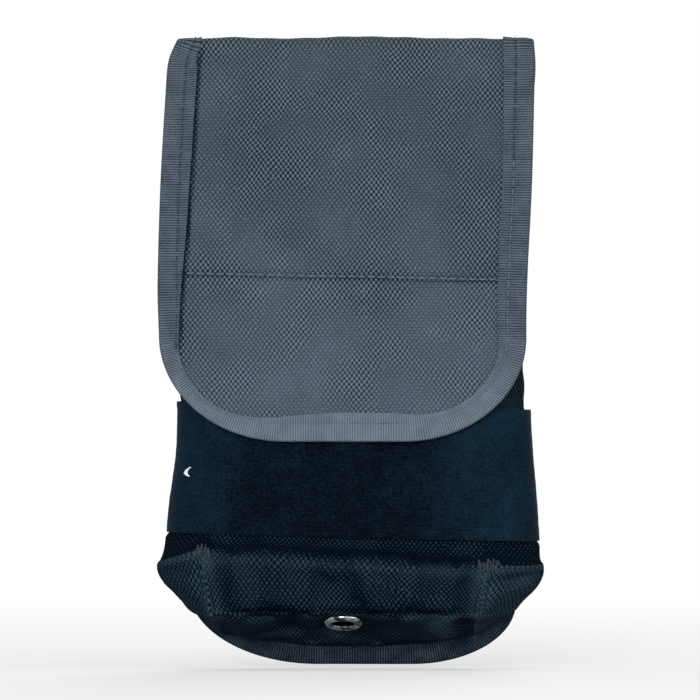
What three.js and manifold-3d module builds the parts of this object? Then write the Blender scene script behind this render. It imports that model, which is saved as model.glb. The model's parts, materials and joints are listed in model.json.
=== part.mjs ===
// A weight pouch for a diver's belt: a flat-backed Cordura pocket with box corners, a wide elastic round it,
// a drain grommet in its bottom and a hook-and-loop flap that folds over its mouth from the back panel.
//
// Millimetres. +Z is up, +X is to the right of someone facing the flap, and the flap faces -Y. The origin is
// on the rear face of the back panel, where the middle of a 50 mm belt lies. The inner group is built with
// heights counted from the bottom edge of the pouch, and is moved down by BELT_HEIGHT as a whole.

import * as THREE from "three";
import { mergeVertices } from "three/addons/utils/BufferGeometryUtils.js";
import Module from "manifold-3d";

const wasm = await Module();
wasm.setup();

// ---------- Driving dimensions ----------
const BELT_HEIGHT = 151; // middle of the belt above the bottom edge
const CLOTH = 1.2; // coated Cordura with its backing
const GUSSET_CLOTH = 1.0;
const TAPE = 0.6; // grosgrain binding
const ELASTIC = 1.4;
const FASTENER = 1.4; // hook tape and loop tape
const WEBBING = 1.8;
const GAP = 0.3; // between pieces that lie on each other

const PANEL_HALF = 64; // half width of the back panel at the elastic and below it
const NECK_HALF = 70; // and at its top, where it turns into the flap
const FLARE_START = 100; // heights between which it widens
const FLARE_END = 225;
const PANEL_TOP = 233;
const FLAT_HALF = 17; // half length of the straight bottom edge
const CORNER_HEIGHT = 30; // height of the rounded bottom corners
const EDGE_LIP = 7; // how far the binding covers the back panel's edge
const EDGE_ROOM = 0.8; // between the cut edge of the back panel and the outside of its binding

const FOLD_Y = -4.6; // axis that the flap folds about
const FOLD_Z = 238.5;
const FOLD_RADIUS = 4;
const FLAP_DEPTH = 30.4; // depth of the flap where it lies over the elastic
const FLAP_FALL = 48; // drop below the fold in which the flap comes out most of that depth
const FLAP_BOTTOM = 86.8;
const FLAP_HALF = 71.4;
const FLAP_SHIFT = -4.4; // the flap closes a little to the left of the pocket
const SHIFT_RANGE = [-40, 110]; // drops below the fold between which it drifts there
const FLAP_LIP = 10; // how far the binding covers the flap's edge
const FLAP_CORNER = { width: 56, height: 42, power: 2.2 };
const HINGE_Z = 150.2; // stitch line across the flap, where the flap bends when it is peeled open
const HINGE_GAP = 0.4;
const FLAP_ROOM = 0.5; // between the cut edge of the flap and the outside of its binding

const BAND_Z = 75.1; // middle of the elastic
const BAND_WIDTH = 50.2;
const BAND_TILT = -0.0243; // rise per millimetre to the right
const BAND_HALF = 69.2; // half width inside the elastic
const BAND_DEPTH = 26.2; // depth inside the elastic
const BAND_TAPER = 0.0011; // growth of its width per millimetre downwards

const GROMMET = { across: 0.48, along: 0.14, flange: 7.5, hole: 3.8, barrel: 4.4, height: 3.4 };

const LOOP = { x: 32, width: 38, bottom: 112, top: 190, end: 12, ramp: 2, depth: 5.2 };
const LOOP_TAPE = { bottom: 106, top: 149, halfWidth: 48 };
const HOOK_TAPE = { top: 148.6, inset: 0.6 };

// Knots of the pocket's edges from the bottom seam to above the mouth, as [x outwards, y, z].
// ridge: corner between front and side. fold: outermost line of the side. seam: side to back panel.
const SIDES = {
  left: {
    sign: -1,
    ridge: [
      [50.5, -4, 13.2], [51.4, -15, 16], [52.8, -26.6, 18.8], [54.6, -31, 22.4], [56, -32.6, 32],
      [57, -33, 44.6], [54.4, -24.6, 50.4], [52, -24.2, 76], [52, -23.4, 101], [56, -15.6, 204], [56.4, -14.8, 216],
    ],
    fold: [
      [53.6, -4.3, 14.2], [57.6, -5.8, 18], [62.6, -8, 22], [68.4, -10.5, 27.4], [72.8, -13, 31.6],
      [75.2, -15, 36], [69, -12.4, 48.6], [67.2, -11, 76], [65.2, -10.5, 101], [65.6, -8, 204], [65.6, -7.6, 216],
    ],
    seam: [
      [56, -4, 15.4], [58.4, -3.6, 18.8], [60.4, -3.3, 22], [61.8, -3.2, 27], [62.3, -3.1, 32],
      [62.5, -3.1, 38], [62.5, -3.1, 50], [62.5, -3.1, 76], [62.5, -3.1, 101], [62.5, -3.1, 204], [62.5, -3.1, 216],
    ],
  },
  right: {
    sign: 1,
    ridge: [
      [47.5, -4, 13.2], [47.8, -15, 15.8], [48.4, -26.6, 18.4], [49, -31, 21.6], [50.4, -32.6, 28.6],
      [51.8, -33, 38], [51.6, -24.6, 45], [52, -24.2, 76], [52, -23.4, 101], [56, -15.6, 204], [56.4, -14.8, 216],
    ],
    fold: [
      [51.6, -4.3, 14], [57.2, -5.8, 18], [62.8, -8, 22.4], [66.6, -10.5, 27], [70, -13, 31],
      [72.6, -15, 35.4], [68.6, -12.4, 46], [67.2, -11, 76], [65.2, -10.5, 101], [65.6, -8, 204], [65.6, -7.6, 216],
    ],
    seam: [
      [55.4, -4, 15.2], [58.2, -3.6, 18.8], [60.4, -3.3, 22], [61.8, -3.2, 27], [62.3, -3.1, 32],
      [62.5, -3.1, 38], [62.5, -3.1, 50], [62.5, -3.1, 76], [62.5, -3.1, 101], [62.5, -3.1, 204], [62.5, -3.1, 216],
    ],
  },
};
const MOUTH = 0.9; // share of those knots at which the mouth lies
const BOX_CORNER_KNOT = 5; // ridge knot at the upper corner of the box
const KNOT_OVER_BAND = 8; // first ridge knot above the elastic; the ridge is straight from there to the mouth
const SEAM_SAG = 4.4; // the bottom seam is lower in the middle than at the ridges
const SAG_REACH = 0.28; // share of the knots at which the sag has died out
const TACK = { halfLength: 4.4, radius: 2.2, depth: 1, inset: 1 };
const MOUTH_TAPE = [0.891, 0.903]; // shares of the knots between which the mouth's binding lies

// Tools that cut right through a piece are this thick, and stand this share past its ends.
const THROUGH = 12;
const OVERCUT = 0.02;

// ---------- Materials ----------
const material = (color, roughness, metalness = 0) => new THREE.MeshStandardMaterial({ color, roughness, metalness });
const cordura = material(0x48555f, 0.8);
const darkCordura = material(0x1c2a35, 0.8);
const grosgrain = material(0x55626d, 0.75);
const elasticCloth = material(0x101f2a, 0.6);
const hookAndLoop = material(0x15191c, 0.95);
const webbing = material(0x1b232a, 0.75);
const nickel = material(0x9ba3ad, 0.25, 1);
const thread = material(0x39464e, 0.7);

// ---------- Solids ----------
// A closed solid around a surface. surface(u, v) gives a point for u and v from 0 to 1. The thickness is
// laid half to each side, along the surface's own normal or along the direction given.
function sheet(surface, thickness, across, along, direction = null) {
  const geometry = new THREE.BoxGeometry(1, 1, 1, across, 1, along);
  const position = geometry.getAttribute("position");
  for (let i = 0; i < position.count; i++) {
    const u = position.getX(i) + 0.5;
    const v = position.getZ(i) + 0.5;
    const normal = direction ?? normalAt(surface, u, v);
    const point = surface(u, v).addScaledVector(normal, position.getY(i) * thickness);
    position.setXYZ(i, point.x, point.y, point.z);
  }
  return geometry;
}

function normalAt(surface, u, v) {
  const step = 1e-3;
  const [u0, u1] = [Math.max(0, u - step), Math.min(1, u + step)];
  const [v0, v1] = [Math.max(0, v - step), Math.min(1, v + step)];
  const alongU = surface(u1, v).sub(surface(u0, v));
  const alongV = surface(u, v1).sub(surface(u, v0));
  return alongV.cross(alongU).normalize();
}

const FORWARD = new THREE.Vector3(0, -1, 0);
const BACKWARD = new THREE.Vector3(0, 1, 0);

// The part of a surface between two shares of u and of v, moved along its normal.
function patch(surface, [u0, u1], [v0, v1], lift = 0) {
  return (u, v) => {
    const s = THREE.MathUtils.lerp(u0, u1, u);
    const t = THREE.MathUtils.lerp(v0, v1, v);
    return surface(s, t).addScaledVector(normalAt(surface, s, t), lift);
  };
}

// A surface that goes on straight past v = 0 and v = 1, for tools that must cut right through an end.
function endless(surface) {
  const reach = 0.01;
  return (u, v) => {
    const end = THREE.MathUtils.clamp(v, 0, 1);
    const inner = surface(u, THREE.MathUtils.clamp(end, reach, 1 - reach));
    return surface(u, end).lerp(inner, -Math.abs(v - end) / reach);
  };
}

function toManifold(geometry) {
  const bare = geometry.clone();
  bare.deleteAttribute("normal");
  bare.deleteAttribute("uv");
  const merged = mergeVertices(bare, 1e-4);
  return new wasm.Manifold(
    new wasm.Mesh({
      numProp: 3,
      vertProperties: merged.attributes.position.array,
      triVerts: new Uint32Array(merged.index.array),
    }),
  );
}

function fromManifold(solid) {
  const made = solid.getMesh();
  return new THREE.BufferGeometry()
    .setAttribute("position", new THREE.BufferAttribute(made.vertProperties, 3))
    .setIndex(new THREE.BufferAttribute(made.triVerts, 1));
}

const cut = (geometry, ...tools) =>
  fromManifold(tools.reduce((rest, tool) => rest.subtract(toManifold(tool)), toManifold(geometry)));

function mesh(name, geometry, look) {
  const made = new THREE.Mesh(geometry, look);
  made.name = name;
  return made;
}

// ---------- Back panel and its binding ----------
// Half width and height of the panel's outline at share v of its rows, with its edge moved in by inset.
function panelRow(v, inset) {
  const cornerShare = 0.4;
  if (v < cornerShare) {
    const angle = (v / cornerShare) * (Math.PI / 2);
    return {
      half: FLAT_HALF + (PANEL_HALF - FLAT_HALF - inset) * Math.sin(angle),
      z: CORNER_HEIGHT - (CORNER_HEIGHT - inset) * Math.cos(angle),
    };
  }
  const z = THREE.MathUtils.mapLinear(v, cornerShare, 1, CORNER_HEIGHT, PANEL_TOP);
  const flare = THREE.MathUtils.smoothstep(z, FLARE_START, FLARE_END);
  return { half: PANEL_HALF + (NECK_HALF - PANEL_HALF) * flare - inset, z };
}

const PANEL_ROWS = 25;

function panelSheet(inset, yFront, yRear, across) {
  const middle = (yFront + yRear) / 2;
  const surface = (u, v) => {
    const { half, z } = panelRow(v, inset);
    return new THREE.Vector3((2 * u - 1) * half, middle, z);
  };
  return sheet(surface, yRear - yFront, across, PANEL_ROWS, BACKWARD);
}

const backPanel = () => panelSheet(EDGE_ROOM, -CLOTH, 0, 11);

// Grosgrain folded over the panel's edge: a lip on each side and a web outside the cloth.
function edgeBinding() {
  const lip = GAP + TAPE;
  const outside = panelSheet(0, -CLOTH - lip, lip, 1);
  const middle = panelSheet(EDGE_LIP, -THROUGH / 2, THROUGH / 2, 1);
  const slot = panelSheet(EDGE_ROOM - GAP, -CLOTH - GAP, GAP, 1);
  return cut(outside, middle, slot);
}

// ---------- Pocket ----------
function sideCurve(side, line, clearance = 0) {
  const { sign, [line]: knots } = SIDES[side];
  return new THREE.CatmullRomCurve3(knots.map(([x, y, z]) => new THREE.Vector3(sign * (x + clearance), y, z)));
}

const SEAM_CLEARANCE = 0.5; // between the cut edges of the front and of a side
const frontEdges = [sideCurve("left", "ridge", -SEAM_CLEARANCE), sideCurve("right", "ridge", -SEAM_CLEARANCE)];

// The front panel runs from the bottom seam forwards under the pocket, round the bottom and up to the mouth.
function frontSurface(u, v) {
  const point = frontEdges[0].getPoint(v).lerp(frontEdges[1].getPoint(v), u);
  const sag = SEAM_SAG * 4 * u * (1 - u) * (1 - THREE.MathUtils.smoothstep(v, 0, SAG_REACH));
  point.z -= sag;
  return point;
}

// Stands a part made round +Y on the bottom of the pocket, with +Y into the pocket.
function placeOnBottom(part) {
  const inwards = normalAt(frontSurface, GROMMET.across, GROMMET.along).negate();
  part.quaternion.setFromUnitVectors(new THREE.Vector3(0, 1, 0), inwards);
  part.position.copy(frontSurface(GROMMET.across, GROMMET.along));
  return part;
}

function drainHole() {
  const radius = GROMMET.barrel + GAP;
  const drill = placeOnBottom(new THREE.Mesh(new THREE.CylinderGeometry(radius, radius, THROUGH, 24)));
  drill.updateMatrix();
  return drill.geometry.applyMatrix4(drill.matrix);
}

const frontPanel = () => cut(sheet(patch(frontSurface, [0, 1], [0, MOUTH]), CLOTH, 8, 40), drainHole());

// A side runs from the ridge, round its outermost fold, to the seam on the back panel, as a parabola.
function sideSurface(side) {
  const ridge = sideCurve(side, "ridge", SEAM_CLEARANCE);
  const fold = sideCurve(side, "fold");
  const seam = sideCurve(side, "seam");
  return (u, v) =>
    ridge.getPoint(v).multiplyScalar((1 - u) * (1 - 2 * u))
      .addScaledVector(fold.getPoint(v), 4 * u * (1 - u))
      .addScaledVector(seam.getPoint(v), u * (2 * u - 1));
}

const sideGusset = (side) => sheet(patch(sideSurface(side), [0, 1], [0, MOUTH]), GUSSET_CLOTH, 6, 36);

// Grosgrain folded over the top edge of the front panel.
function mouthBinding() {
  const [bottom, top] = MOUTH_TAPE;
  const outside = sheet(patch(frontSurface, [0, 1], [bottom, top]), CLOTH + 2 * (GAP + TAPE), 4, 2);
  const inside = patch(frontSurface, [-OVERCUT, 1 + OVERCUT], [bottom - OVERCUT, MOUTH + 0.001]);
  const slot = sheet(inside, CLOTH + 2 * GAP, 4, 2);
  return cut(outside, slot);
}

// Share of the front surface's v at which it reaches height z, above the elastic.
function frontShare(z) {
  const [low, high] = SIDES.left.ridge.slice(KNOT_OVER_BAND).map((knot) => knot[2]);
  const last = SIDES.left.ridge.length - 1;
  return THREE.MathUtils.mapLinear(z, low, high, KNOT_OVER_BAND / last, (KNOT_OVER_BAND + 1) / last);
}

function loopTape() {
  const frontHalf = SIDES.left.ridge[KNOT_OVER_BAND][0];
  const half = LOOP_TAPE.halfWidth / (2 * frontHalf);
  const range = [frontShare(LOOP_TAPE.bottom), frontShare(LOOP_TAPE.top)];
  const lift = -(CLOTH / 2 + GAP + FASTENER / 2);
  return sheet(patch(frontSurface, [0.5 - half, 0.5 + half], range, lift), FASTENER, 4, 6);
}

// A bar of close stitching that gathers the box corner at the upper end of a ridge.
function cornerTack(side) {
  const { sign, ridge } = SIDES[side];
  const [x, y, z] = ridge[BOX_CORNER_KNOT];
  const { halfLength, radius, depth, inset } = TACK;
  const middle = halfLength - radius;
  const bar = new THREE.Shape();
  bar.absellipse(-middle, 0, radius, radius, Math.PI / 2, 1.5 * Math.PI);
  bar.absellipse(middle, 0, radius, radius, -Math.PI / 2, Math.PI / 2);
  const tack = new THREE.ExtrudeGeometry(bar, { depth, bevelEnabled: false, curveSegments: 6 });
  tack.rotateX(Math.PI / 2);
  tack.translate(sign * (x - inset), y - CLOTH / 2 - 2 * GAP, z);
  return tack;
}

// ---------- Drain grommet ----------
// Profiles are [radius, height] round the pocket-bottom's normal; the flange is below the cloth.
const turned = (profile) =>
  new THREE.LatheGeometry([...profile, profile[0]].map(([r, h]) => new THREE.Vector2(r, h)), 32);

function drainGrommet() {
  const { hole, barrel, flange, height } = GROMMET;
  const under = -CLOTH / 2 - 2 * GAP;
  return turned([
    [hole, under - 0.5], [hole + 1.1, under - 1.3], [flange - 1, under - 1.1], [flange, under - 0.2],
    [flange - 0.3, under], [barrel, under], [barrel, height], [hole, height],
  ]);
}

function grommetWasher() {
  const inner = GROMMET.barrel + 0.1;
  const low = CLOTH / 2 + 2 * GAP;
  return turned([[inner, low], [GROMMET.flange, low], [GROMMET.flange, low + 0.5], [inner, low + 0.9]]);
}

// ---------- Elastic ----------
// Plan of the elastic, moved outwards by offset: flat behind and in front, with a quarter ellipse at each corner.
function bandPlan(offset) {
  const [rearHalf, frontHalf, sideY, rearY] = [65.6, 50, -9, 1.3];
  const reach = BAND_HALF + offset;
  const rear = rearY - sideY + offset;
  const front = BAND_DEPTH + sideY + offset;
  const steps = [0, 1, 2, 3, 4, 5, 6].map((i) => ((i / 6) * Math.PI) / 2);
  const corner = (half, depth) =>
    steps.map((angle) => [half + (reach - half) * Math.cos(angle), sideY + depth * Math.sin(angle)]);
  const right = [...corner(frontHalf, -front).reverse(), ...corner(rearHalf, rear).slice(1)];
  const left = right.map(([x, y]) => [-x, y]).reverse();
  return [...right, ...left].map(([x, y]) => new THREE.Vector2(x, y));
}

function elasticBand() {
  const plan = new THREE.Shape(bandPlan(ELASTIC));
  plan.holes.push(new THREE.Path(bandPlan(0)));
  const band = new THREE.ExtrudeGeometry(plan, { depth: BAND_WIDTH, bevelEnabled: false, steps: 2 });
  const position = band.getAttribute("position");
  for (let i = 0; i < position.count; i++) {
    const rise = position.getZ(i) - BAND_WIDTH / 2;
    const x = position.getX(i) * (1 - BAND_TAPER * rise);
    position.setXYZ(i, x, position.getY(i), BAND_Z + rise + BAND_TILT * x);
  }
  return band;
}

// ---------- Belt loops ----------
// Webbing sewn flat at both ends, standing off the back panel between them to leave a tunnel for the belt.
function beltLoop(side) {
  const { x, width, bottom, top, end, ramp, depth } = LOOP;
  const near = 3 * GAP;
  const rearLine = [
    [near + WEBBING, bottom], [near + WEBBING, bottom + end], [depth + WEBBING, bottom + end + ramp],
    [depth + WEBBING, top - end - ramp], [near + WEBBING, top - end], [near + WEBBING, top],
  ];
  const frontLine = [
    [near, top], [near, top - end], [depth, top - end - ramp], [depth, bottom + end + ramp],
    [near, bottom + end], [near, bottom],
  ];
  const profile = new THREE.Shape([...rearLine, ...frontLine].map(([y, z]) => new THREE.Vector2(y, z)));
  const strap = new THREE.ExtrudeGeometry(profile, { depth: width, bevelEnabled: false });
  // Shape x, shape y and the extrusion become y, z and x.
  strap.applyMatrix4(new THREE.Matrix4().set(0, 0, 1, 0, 1, 0, 0, 0, 0, 1, 0, 0, 0, 0, 0, 1));
  strap.translate(SIDES[side].sign * x - width / 2, 0, 0);
  return strap;
}

// ---------- Flap ----------
// Depth of the flap's middle surface at height z: steep at the fold, flat over the elastic.
function flapDepth(z) {
  const start = -FOLD_Y + FOLD_RADIUS;
  const share = (height) => 1 - Math.exp(-(FOLD_Z - height) / FLAP_FALL);
  return start + ((FLAP_DEPTH - start) * share(z)) / share(FLAP_BOTTOM);
}

const flapShift = (z) => FLAP_SHIFT * THREE.MathUtils.smoothstep(FOLD_Z - z, ...SHIFT_RANGE);

// Profile of the flap above its stitch line, from behind the fold axis, over it and down the front.
function foldProfile() {
  const arc = [0, 45, 90, 135, 170].map((degrees) => {
    const angle = THREE.MathUtils.degToRad(degrees);
    return [FOLD_Y + FOLD_RADIUS * Math.cos(angle), FOLD_Z + FOLD_RADIUS * Math.sin(angle)];
  });
  const slope = [232, 222, 208, 190, 170, HINGE_Z + HINGE_GAP].map((z) => [-flapDepth(z), z]);
  return new THREE.CatmullRomCurve3([...arc, ...slope].map(([y, z]) => new THREE.Vector3(0, y, z)));
}

const flapProfile = foldProfile();

function upperFlapSurface(u, v) {
  const point = flapProfile.getPoint(v);
  const half = THREE.MathUtils.lerp(NECK_HALF, FLAP_HALF, v);
  point.x = flapShift(Math.min(point.z, FOLD_Z)) + (2 * u - 1) * half;
  return point;
}

const UPPER_ROWS = 20;
const upperFlap = () => sheet(upperFlapSurface, CLOTH, 3, UPPER_ROWS);

function upperBinding(side) {
  const share = FLAP_LIP / (2 * FLAP_HALF);
  const edge = FLAP_ROOM / (2 * FLAP_HALF);
  const strip = side === "left" ? [-edge, share] : [1 - share, 1 + edge];
  const inner = side === "left" ? [-edge / 4, 1] : [0, 1 + edge / 4];
  const row = 1 / UPPER_ROWS;
  const through = patch(endless(upperFlapSurface), inner, [-row, 1 + row]);
  const outside = sheet(patch(upperFlapSurface, strip, [0, 1]), CLOTH + 2 * (GAP + TAPE), 1, UPPER_ROWS);
  const slot = sheet(through, CLOTH + 2 * GAP, 1, UPPER_ROWS + 2);
  return cut(outside, slot);
}

// Lower flap: straight sides that run into broad rounded corners and a short straight bottom edge.
function lowerFlapSurface(inset, top) {
  const { width, height, power } = FLAP_CORNER;
  const cornerTop = FLAP_BOTTOM + height;
  return (u, v) => {
    const straightShare = 0.25;
    const angle = (Math.max(0, v - straightShare) / (1 - straightShare)) * (Math.PI / 2);
    const straight = THREE.MathUtils.mapLinear(Math.min(v, straightShare), 0, straightShare, top, cornerTop);
    const z = straight - (height - inset) * Math.sin(angle) ** (2 / power);
    const half = FLAP_HALF - width + (width - inset) * Math.max(0, Math.cos(angle)) ** (2 / power);
    return new THREE.Vector3(flapShift(z) + (2 * u - 1) * half, -flapDepth(z), z);
  };
}

const LOWER_TOP = HINGE_Z - HINGE_GAP;
const LOWER_ROWS = 20;
const lowerSheet = (inset, top, thickness) =>
  sheet(lowerFlapSurface(inset, top), thickness, 1, LOWER_ROWS, FORWARD);

const lowerFlap = () => lowerSheet(FLAP_ROOM, LOWER_TOP, CLOTH);

function lowerBinding() {
  const outside = lowerSheet(0, LOWER_TOP, CLOTH + 2 * (GAP + TAPE));
  const middle = lowerSheet(FLAP_LIP, LOWER_TOP, THROUGH);
  const slot = lowerSheet(FLAP_ROOM - GAP, LOWER_TOP, CLOTH + 2 * GAP);
  return cut(outside, middle, slot);
}

// Hook tape fills the inside of the lower flap between its bindings.
function hookTape() {
  const surface = lowerFlapSurface(FLAP_LIP + HOOK_TAPE.inset, HOOK_TAPE.top);
  const inside = (u, v) => surface(u, v).addScaledVector(BACKWARD, CLOTH / 2 + GAP + FASTENER / 2);
  return sheet(inside, FASTENER, 1, LOWER_ROWS, FORWARD);
}

// ---------- Assembly ----------
const pouch = new THREE.Group();
pouch.position.z = -BELT_HEIGHT;
pouch.add(
  mesh("back_panel", backPanel(), cordura),
  mesh("edge_binding", edgeBinding(), grosgrain),
  mesh("front_panel", frontPanel(), darkCordura),
  mesh("side_gusset_left", sideGusset("left"), darkCordura),
  mesh("side_gusset_right", sideGusset("right"), darkCordura),
  mesh("mouth_binding", mouthBinding(), grosgrain),
  mesh("loop_tape", loopTape(), hookAndLoop),
  mesh("corner_tack_left", cornerTack("left"), thread),
  mesh("corner_tack_right", cornerTack("right"), thread),
  placeOnBottom(mesh("drain_grommet", drainGrommet(), nickel)),
  placeOnBottom(mesh("grommet_washer", grommetWasher(), nickel)),
  mesh("elastic_band", elasticBand(), elasticCloth),
  mesh("belt_loop_left", beltLoop("left"), webbing),
  mesh("belt_loop_right", beltLoop("right"), webbing),
  mesh("flap_upper", upperFlap(), cordura),
  mesh("flap_upper_binding_left", upperBinding("left"), grosgrain),
  mesh("flap_upper_binding_right", upperBinding("right"), grosgrain),
  mesh("flap_lower", lowerFlap(), cordura),
  mesh("flap_lower_binding", lowerBinding(), grosgrain),
  mesh("hook_tape", hookTape(), hookAndLoop),
);

const root = new THREE.Group();
root.add(pouch);

export default root;
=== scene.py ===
import json
import math

import bmesh
import bpy
import numpy as np
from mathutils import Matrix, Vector


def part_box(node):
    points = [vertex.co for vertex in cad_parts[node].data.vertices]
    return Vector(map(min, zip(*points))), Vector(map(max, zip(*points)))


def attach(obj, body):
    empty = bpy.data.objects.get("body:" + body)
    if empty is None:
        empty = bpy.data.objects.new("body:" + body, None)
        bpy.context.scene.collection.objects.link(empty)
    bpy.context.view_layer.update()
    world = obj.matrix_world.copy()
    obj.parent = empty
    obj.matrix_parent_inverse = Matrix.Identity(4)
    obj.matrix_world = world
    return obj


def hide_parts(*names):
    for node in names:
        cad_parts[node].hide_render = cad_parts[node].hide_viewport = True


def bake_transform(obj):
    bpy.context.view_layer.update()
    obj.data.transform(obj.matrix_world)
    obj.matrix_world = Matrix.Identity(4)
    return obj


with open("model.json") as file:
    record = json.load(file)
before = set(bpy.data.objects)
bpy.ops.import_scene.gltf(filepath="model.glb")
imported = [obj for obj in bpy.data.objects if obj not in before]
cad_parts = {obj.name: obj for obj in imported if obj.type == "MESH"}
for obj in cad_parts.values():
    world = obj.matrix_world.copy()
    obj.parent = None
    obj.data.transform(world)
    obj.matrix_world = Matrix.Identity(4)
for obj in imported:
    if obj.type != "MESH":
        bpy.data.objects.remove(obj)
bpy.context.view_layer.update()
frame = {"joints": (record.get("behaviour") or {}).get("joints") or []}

# A weight pouch for a diver's belt, in sewn cloth. Shapes are worked out in millimetres, with heights
# counted from the bottom edge of the pouch, and become metres in the row frame when a mesh is made.
MM = 0.001
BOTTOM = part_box("edge_binding")[0].z
SIDES = {-1: "left", 1: "right"}

# ---------- Numbers ----------


def ease(x, low, high):
    """0 below low, 1 above high, smooth between them."""
    t = np.clip((x - low) / (high - low), 0, 1)
    return t * t * (3 - 2 * t)


def hump(x, centre, width):
    return np.exp(-(((x - centre) / width) ** 2))


def ripple(x, y, size, seed, waves=9):
    """Smooth unevenness between about -1 and 1, with features of the given size."""
    random = np.random.default_rng(seed)
    total = np.zeros(np.broadcast(x, y).shape)
    for _ in range(waves):
        turn, phase = random.uniform(0, 2 * np.pi, 2)
        rate = 2 * np.pi / (size * random.uniform(0.7, 1.6))
        total += np.sin(rate * (x * np.cos(turn) + y * np.sin(turn)) + phase)
    return total / math.sqrt(waves)


def unit(vectors):
    vectors = np.asarray(vectors, float)
    return vectors / np.maximum(np.linalg.norm(vectors, axis=-1, keepdims=True), 1e-9)


def pair(a, b):
    """Two fields of numbers as one field of (a, b)."""
    return np.stack(np.broadcast_arrays(a, b), axis=-1)


def through(knots, t):
    """Points at shares t of a smooth curve through the knots."""
    p = np.asarray(knots, float)
    last = len(p) - 1
    p = np.vstack([2 * p[0] - p[1], p, 2 * p[-1] - p[-2]])
    x = np.clip(t, 0, 1) * last
    i = np.minimum(x.astype(int), last - 1)
    f = (x - i)[..., None]
    a, b, c, d = p[i], p[i + 1], p[i + 2], p[i + 3]
    return b + 0.5 * f * (c - a + f * (2 * a - 5 * b + 4 * c - d + f * (3 * (b - c) + d - a)))


def lengths(points):
    """Distance along a row of points."""
    steps = np.linalg.norm(np.diff(points, axis=0), axis=-1)
    return np.append(0, np.cumsum(steps))


def read_at(places, along, field):
    """Vectors of a field, given at distances along a line, read at other places."""
    return np.stack([np.interp(places, along, column) for column in field.T], axis=-1)


def respaced(points, step):
    """The same line with points at an even spacing close to step."""
    along = lengths(points)
    places = np.linspace(0, along[-1], max(2, round(along[-1] / step) + 1))
    return read_at(places, along, points)


# ---------- Meshes ----------


def new_mesh(name, points, faces):
    mesh = bpy.data.meshes.new(name)
    mesh.from_pydata(points.reshape(-1, 3).tolist(), [], faces)
    return mesh


def placed(name, data, place=(0, 0, 0)):
    """A new object in the scene, in metres."""
    made = bpy.data.objects.new(name, data)
    made.location = place
    bpy.context.scene.collection.objects.link(made)
    return made


def make_piece(name, points, faces, uvs, look, body="pouch", node=None, wear_and_shade=0.5, smooth_angle=55):
    """A piece from points in millimetres, with one UV, in millimetres of cloth, for each. Each point's fade
    value, from 0 to 1, says how faded it is and also holds painted light and shade. The piece rides on its
    body, given by name, and otherwise is left unattached where it is made; it stands for its node."""
    mesh = new_mesh(name, points * MM + [0, 0, BOTTOM], faces)
    mesh.update()
    work = bmesh.new()
    work.from_mesh(mesh)
    bmesh.ops.recalc_face_normals(work, faces=work.faces)
    work.to_mesh(mesh)
    work.free()
    corners = np.empty(len(mesh.loops), np.int32)
    mesh.loops.foreach_get("vertex_index", corners)
    laid_out = uvs.reshape(-1, 2)[corners].astype(np.float32)
    mesh.uv_layers.new(name="cloth").data.foreach_set("uv", laid_out.ravel())
    faded_and_shaded = np.broadcast_to(np.ravel(wear_and_shade), len(mesh.vertices)).astype(np.float32)
    mesh.attributes.new("wear_and_shade", "FLOAT", "POINT").data.foreach_set("value", faded_and_shaded)
    mesh.shade_smooth()
    mesh.set_sharp_from_angle(angle=math.radians(smooth_angle))
    mesh.materials.append(look.material)
    piece = placed(name, mesh)
    if isinstance(body, str):
        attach(piece, body)
    else:
        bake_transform(piece)
    if node:
        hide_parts(node)


def grid_normals(points, around=False):
    ahead = np.roll(points, -1, 0) - np.roll(points, 1, 0) if around else np.gradient(points, axis=0)
    return unit(np.cross(ahead, np.gradient(points, axis=1)))


def numbered(points):
    """The number of each point of a grid."""
    return np.arange(points[..., 0].size).reshape(points.shape[:2])


def sheet(name, points, thickness, uvs, look, body="pouch", node=None, around=False, keep=True, wear_and_shade=0.5):
    """A closed sheet of cloth round a grid of points. around joins the last row to the first, and keep says
    which cells of the grid are there."""
    index = numbered(points)
    near, far = (index, np.roll(index, -1, 0)) if around else (index[:-1], index[1:])
    cells = np.stack([near[:, :-1], far[:, :-1], far[:, 1:], near[:, 1:]], axis=-1)
    used, quads = np.unique(cells[np.broadcast_to(keep, cells.shape[:2])], return_inverse=True)
    quads = quads.reshape(-1, 4)
    back = len(used)
    edges = [(quad[k - 1], quad[k]) for quad in quads.tolist() for k in range(4)]
    known = set(edges)
    rims = [(a, b, b + back, a + back) for a, b in edges if (b, a) not in known]
    half = (grid_normals(points, around) * thickness / 2).reshape(-1, 3)[used]
    middle = points.reshape(-1, 3)[used]
    both = np.concatenate([middle + half, middle - half])
    laid_out = np.tile(uvs.reshape(-1, 2)[used], (2, 1))
    worn_and_shaded = np.tile(np.broadcast_to(wear_and_shade, index.shape).ravel()[used], 2)
    faces = quads.tolist() + (quads[:, ::-1] + back).tolist() + rims
    make_piece(name, both, faces, laid_out, look, body, node, worn_and_shaded)


def between_rings(near, far):
    """Faces between closed rings of point numbers and the next rings."""
    faces = np.stack([near, np.roll(near, -1, -1), np.roll(far, -1, -1), far], axis=-1)
    return faces.reshape(-1, 4).tolist()


def tube_faces(stations, sides, first=0):
    """Faces of a capped tube whose points run round each station in turn."""
    index = first + np.arange(stations * sides).reshape(stations, sides)
    return between_rings(index[:-1], index[1:]) + [index[0][::-1].tolist(), index[-1].tolist()]


def rings(middle, side, up, radius, count=6):
    """Points round each point of a line."""
    turn = np.linspace(0, 2 * np.pi, count, endpoint=False)[:, None]
    side, up = side[..., None, :], up[..., None, :]
    return middle[..., None, :] + radius * (side * np.cos(turn) + up * np.sin(turn))


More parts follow.
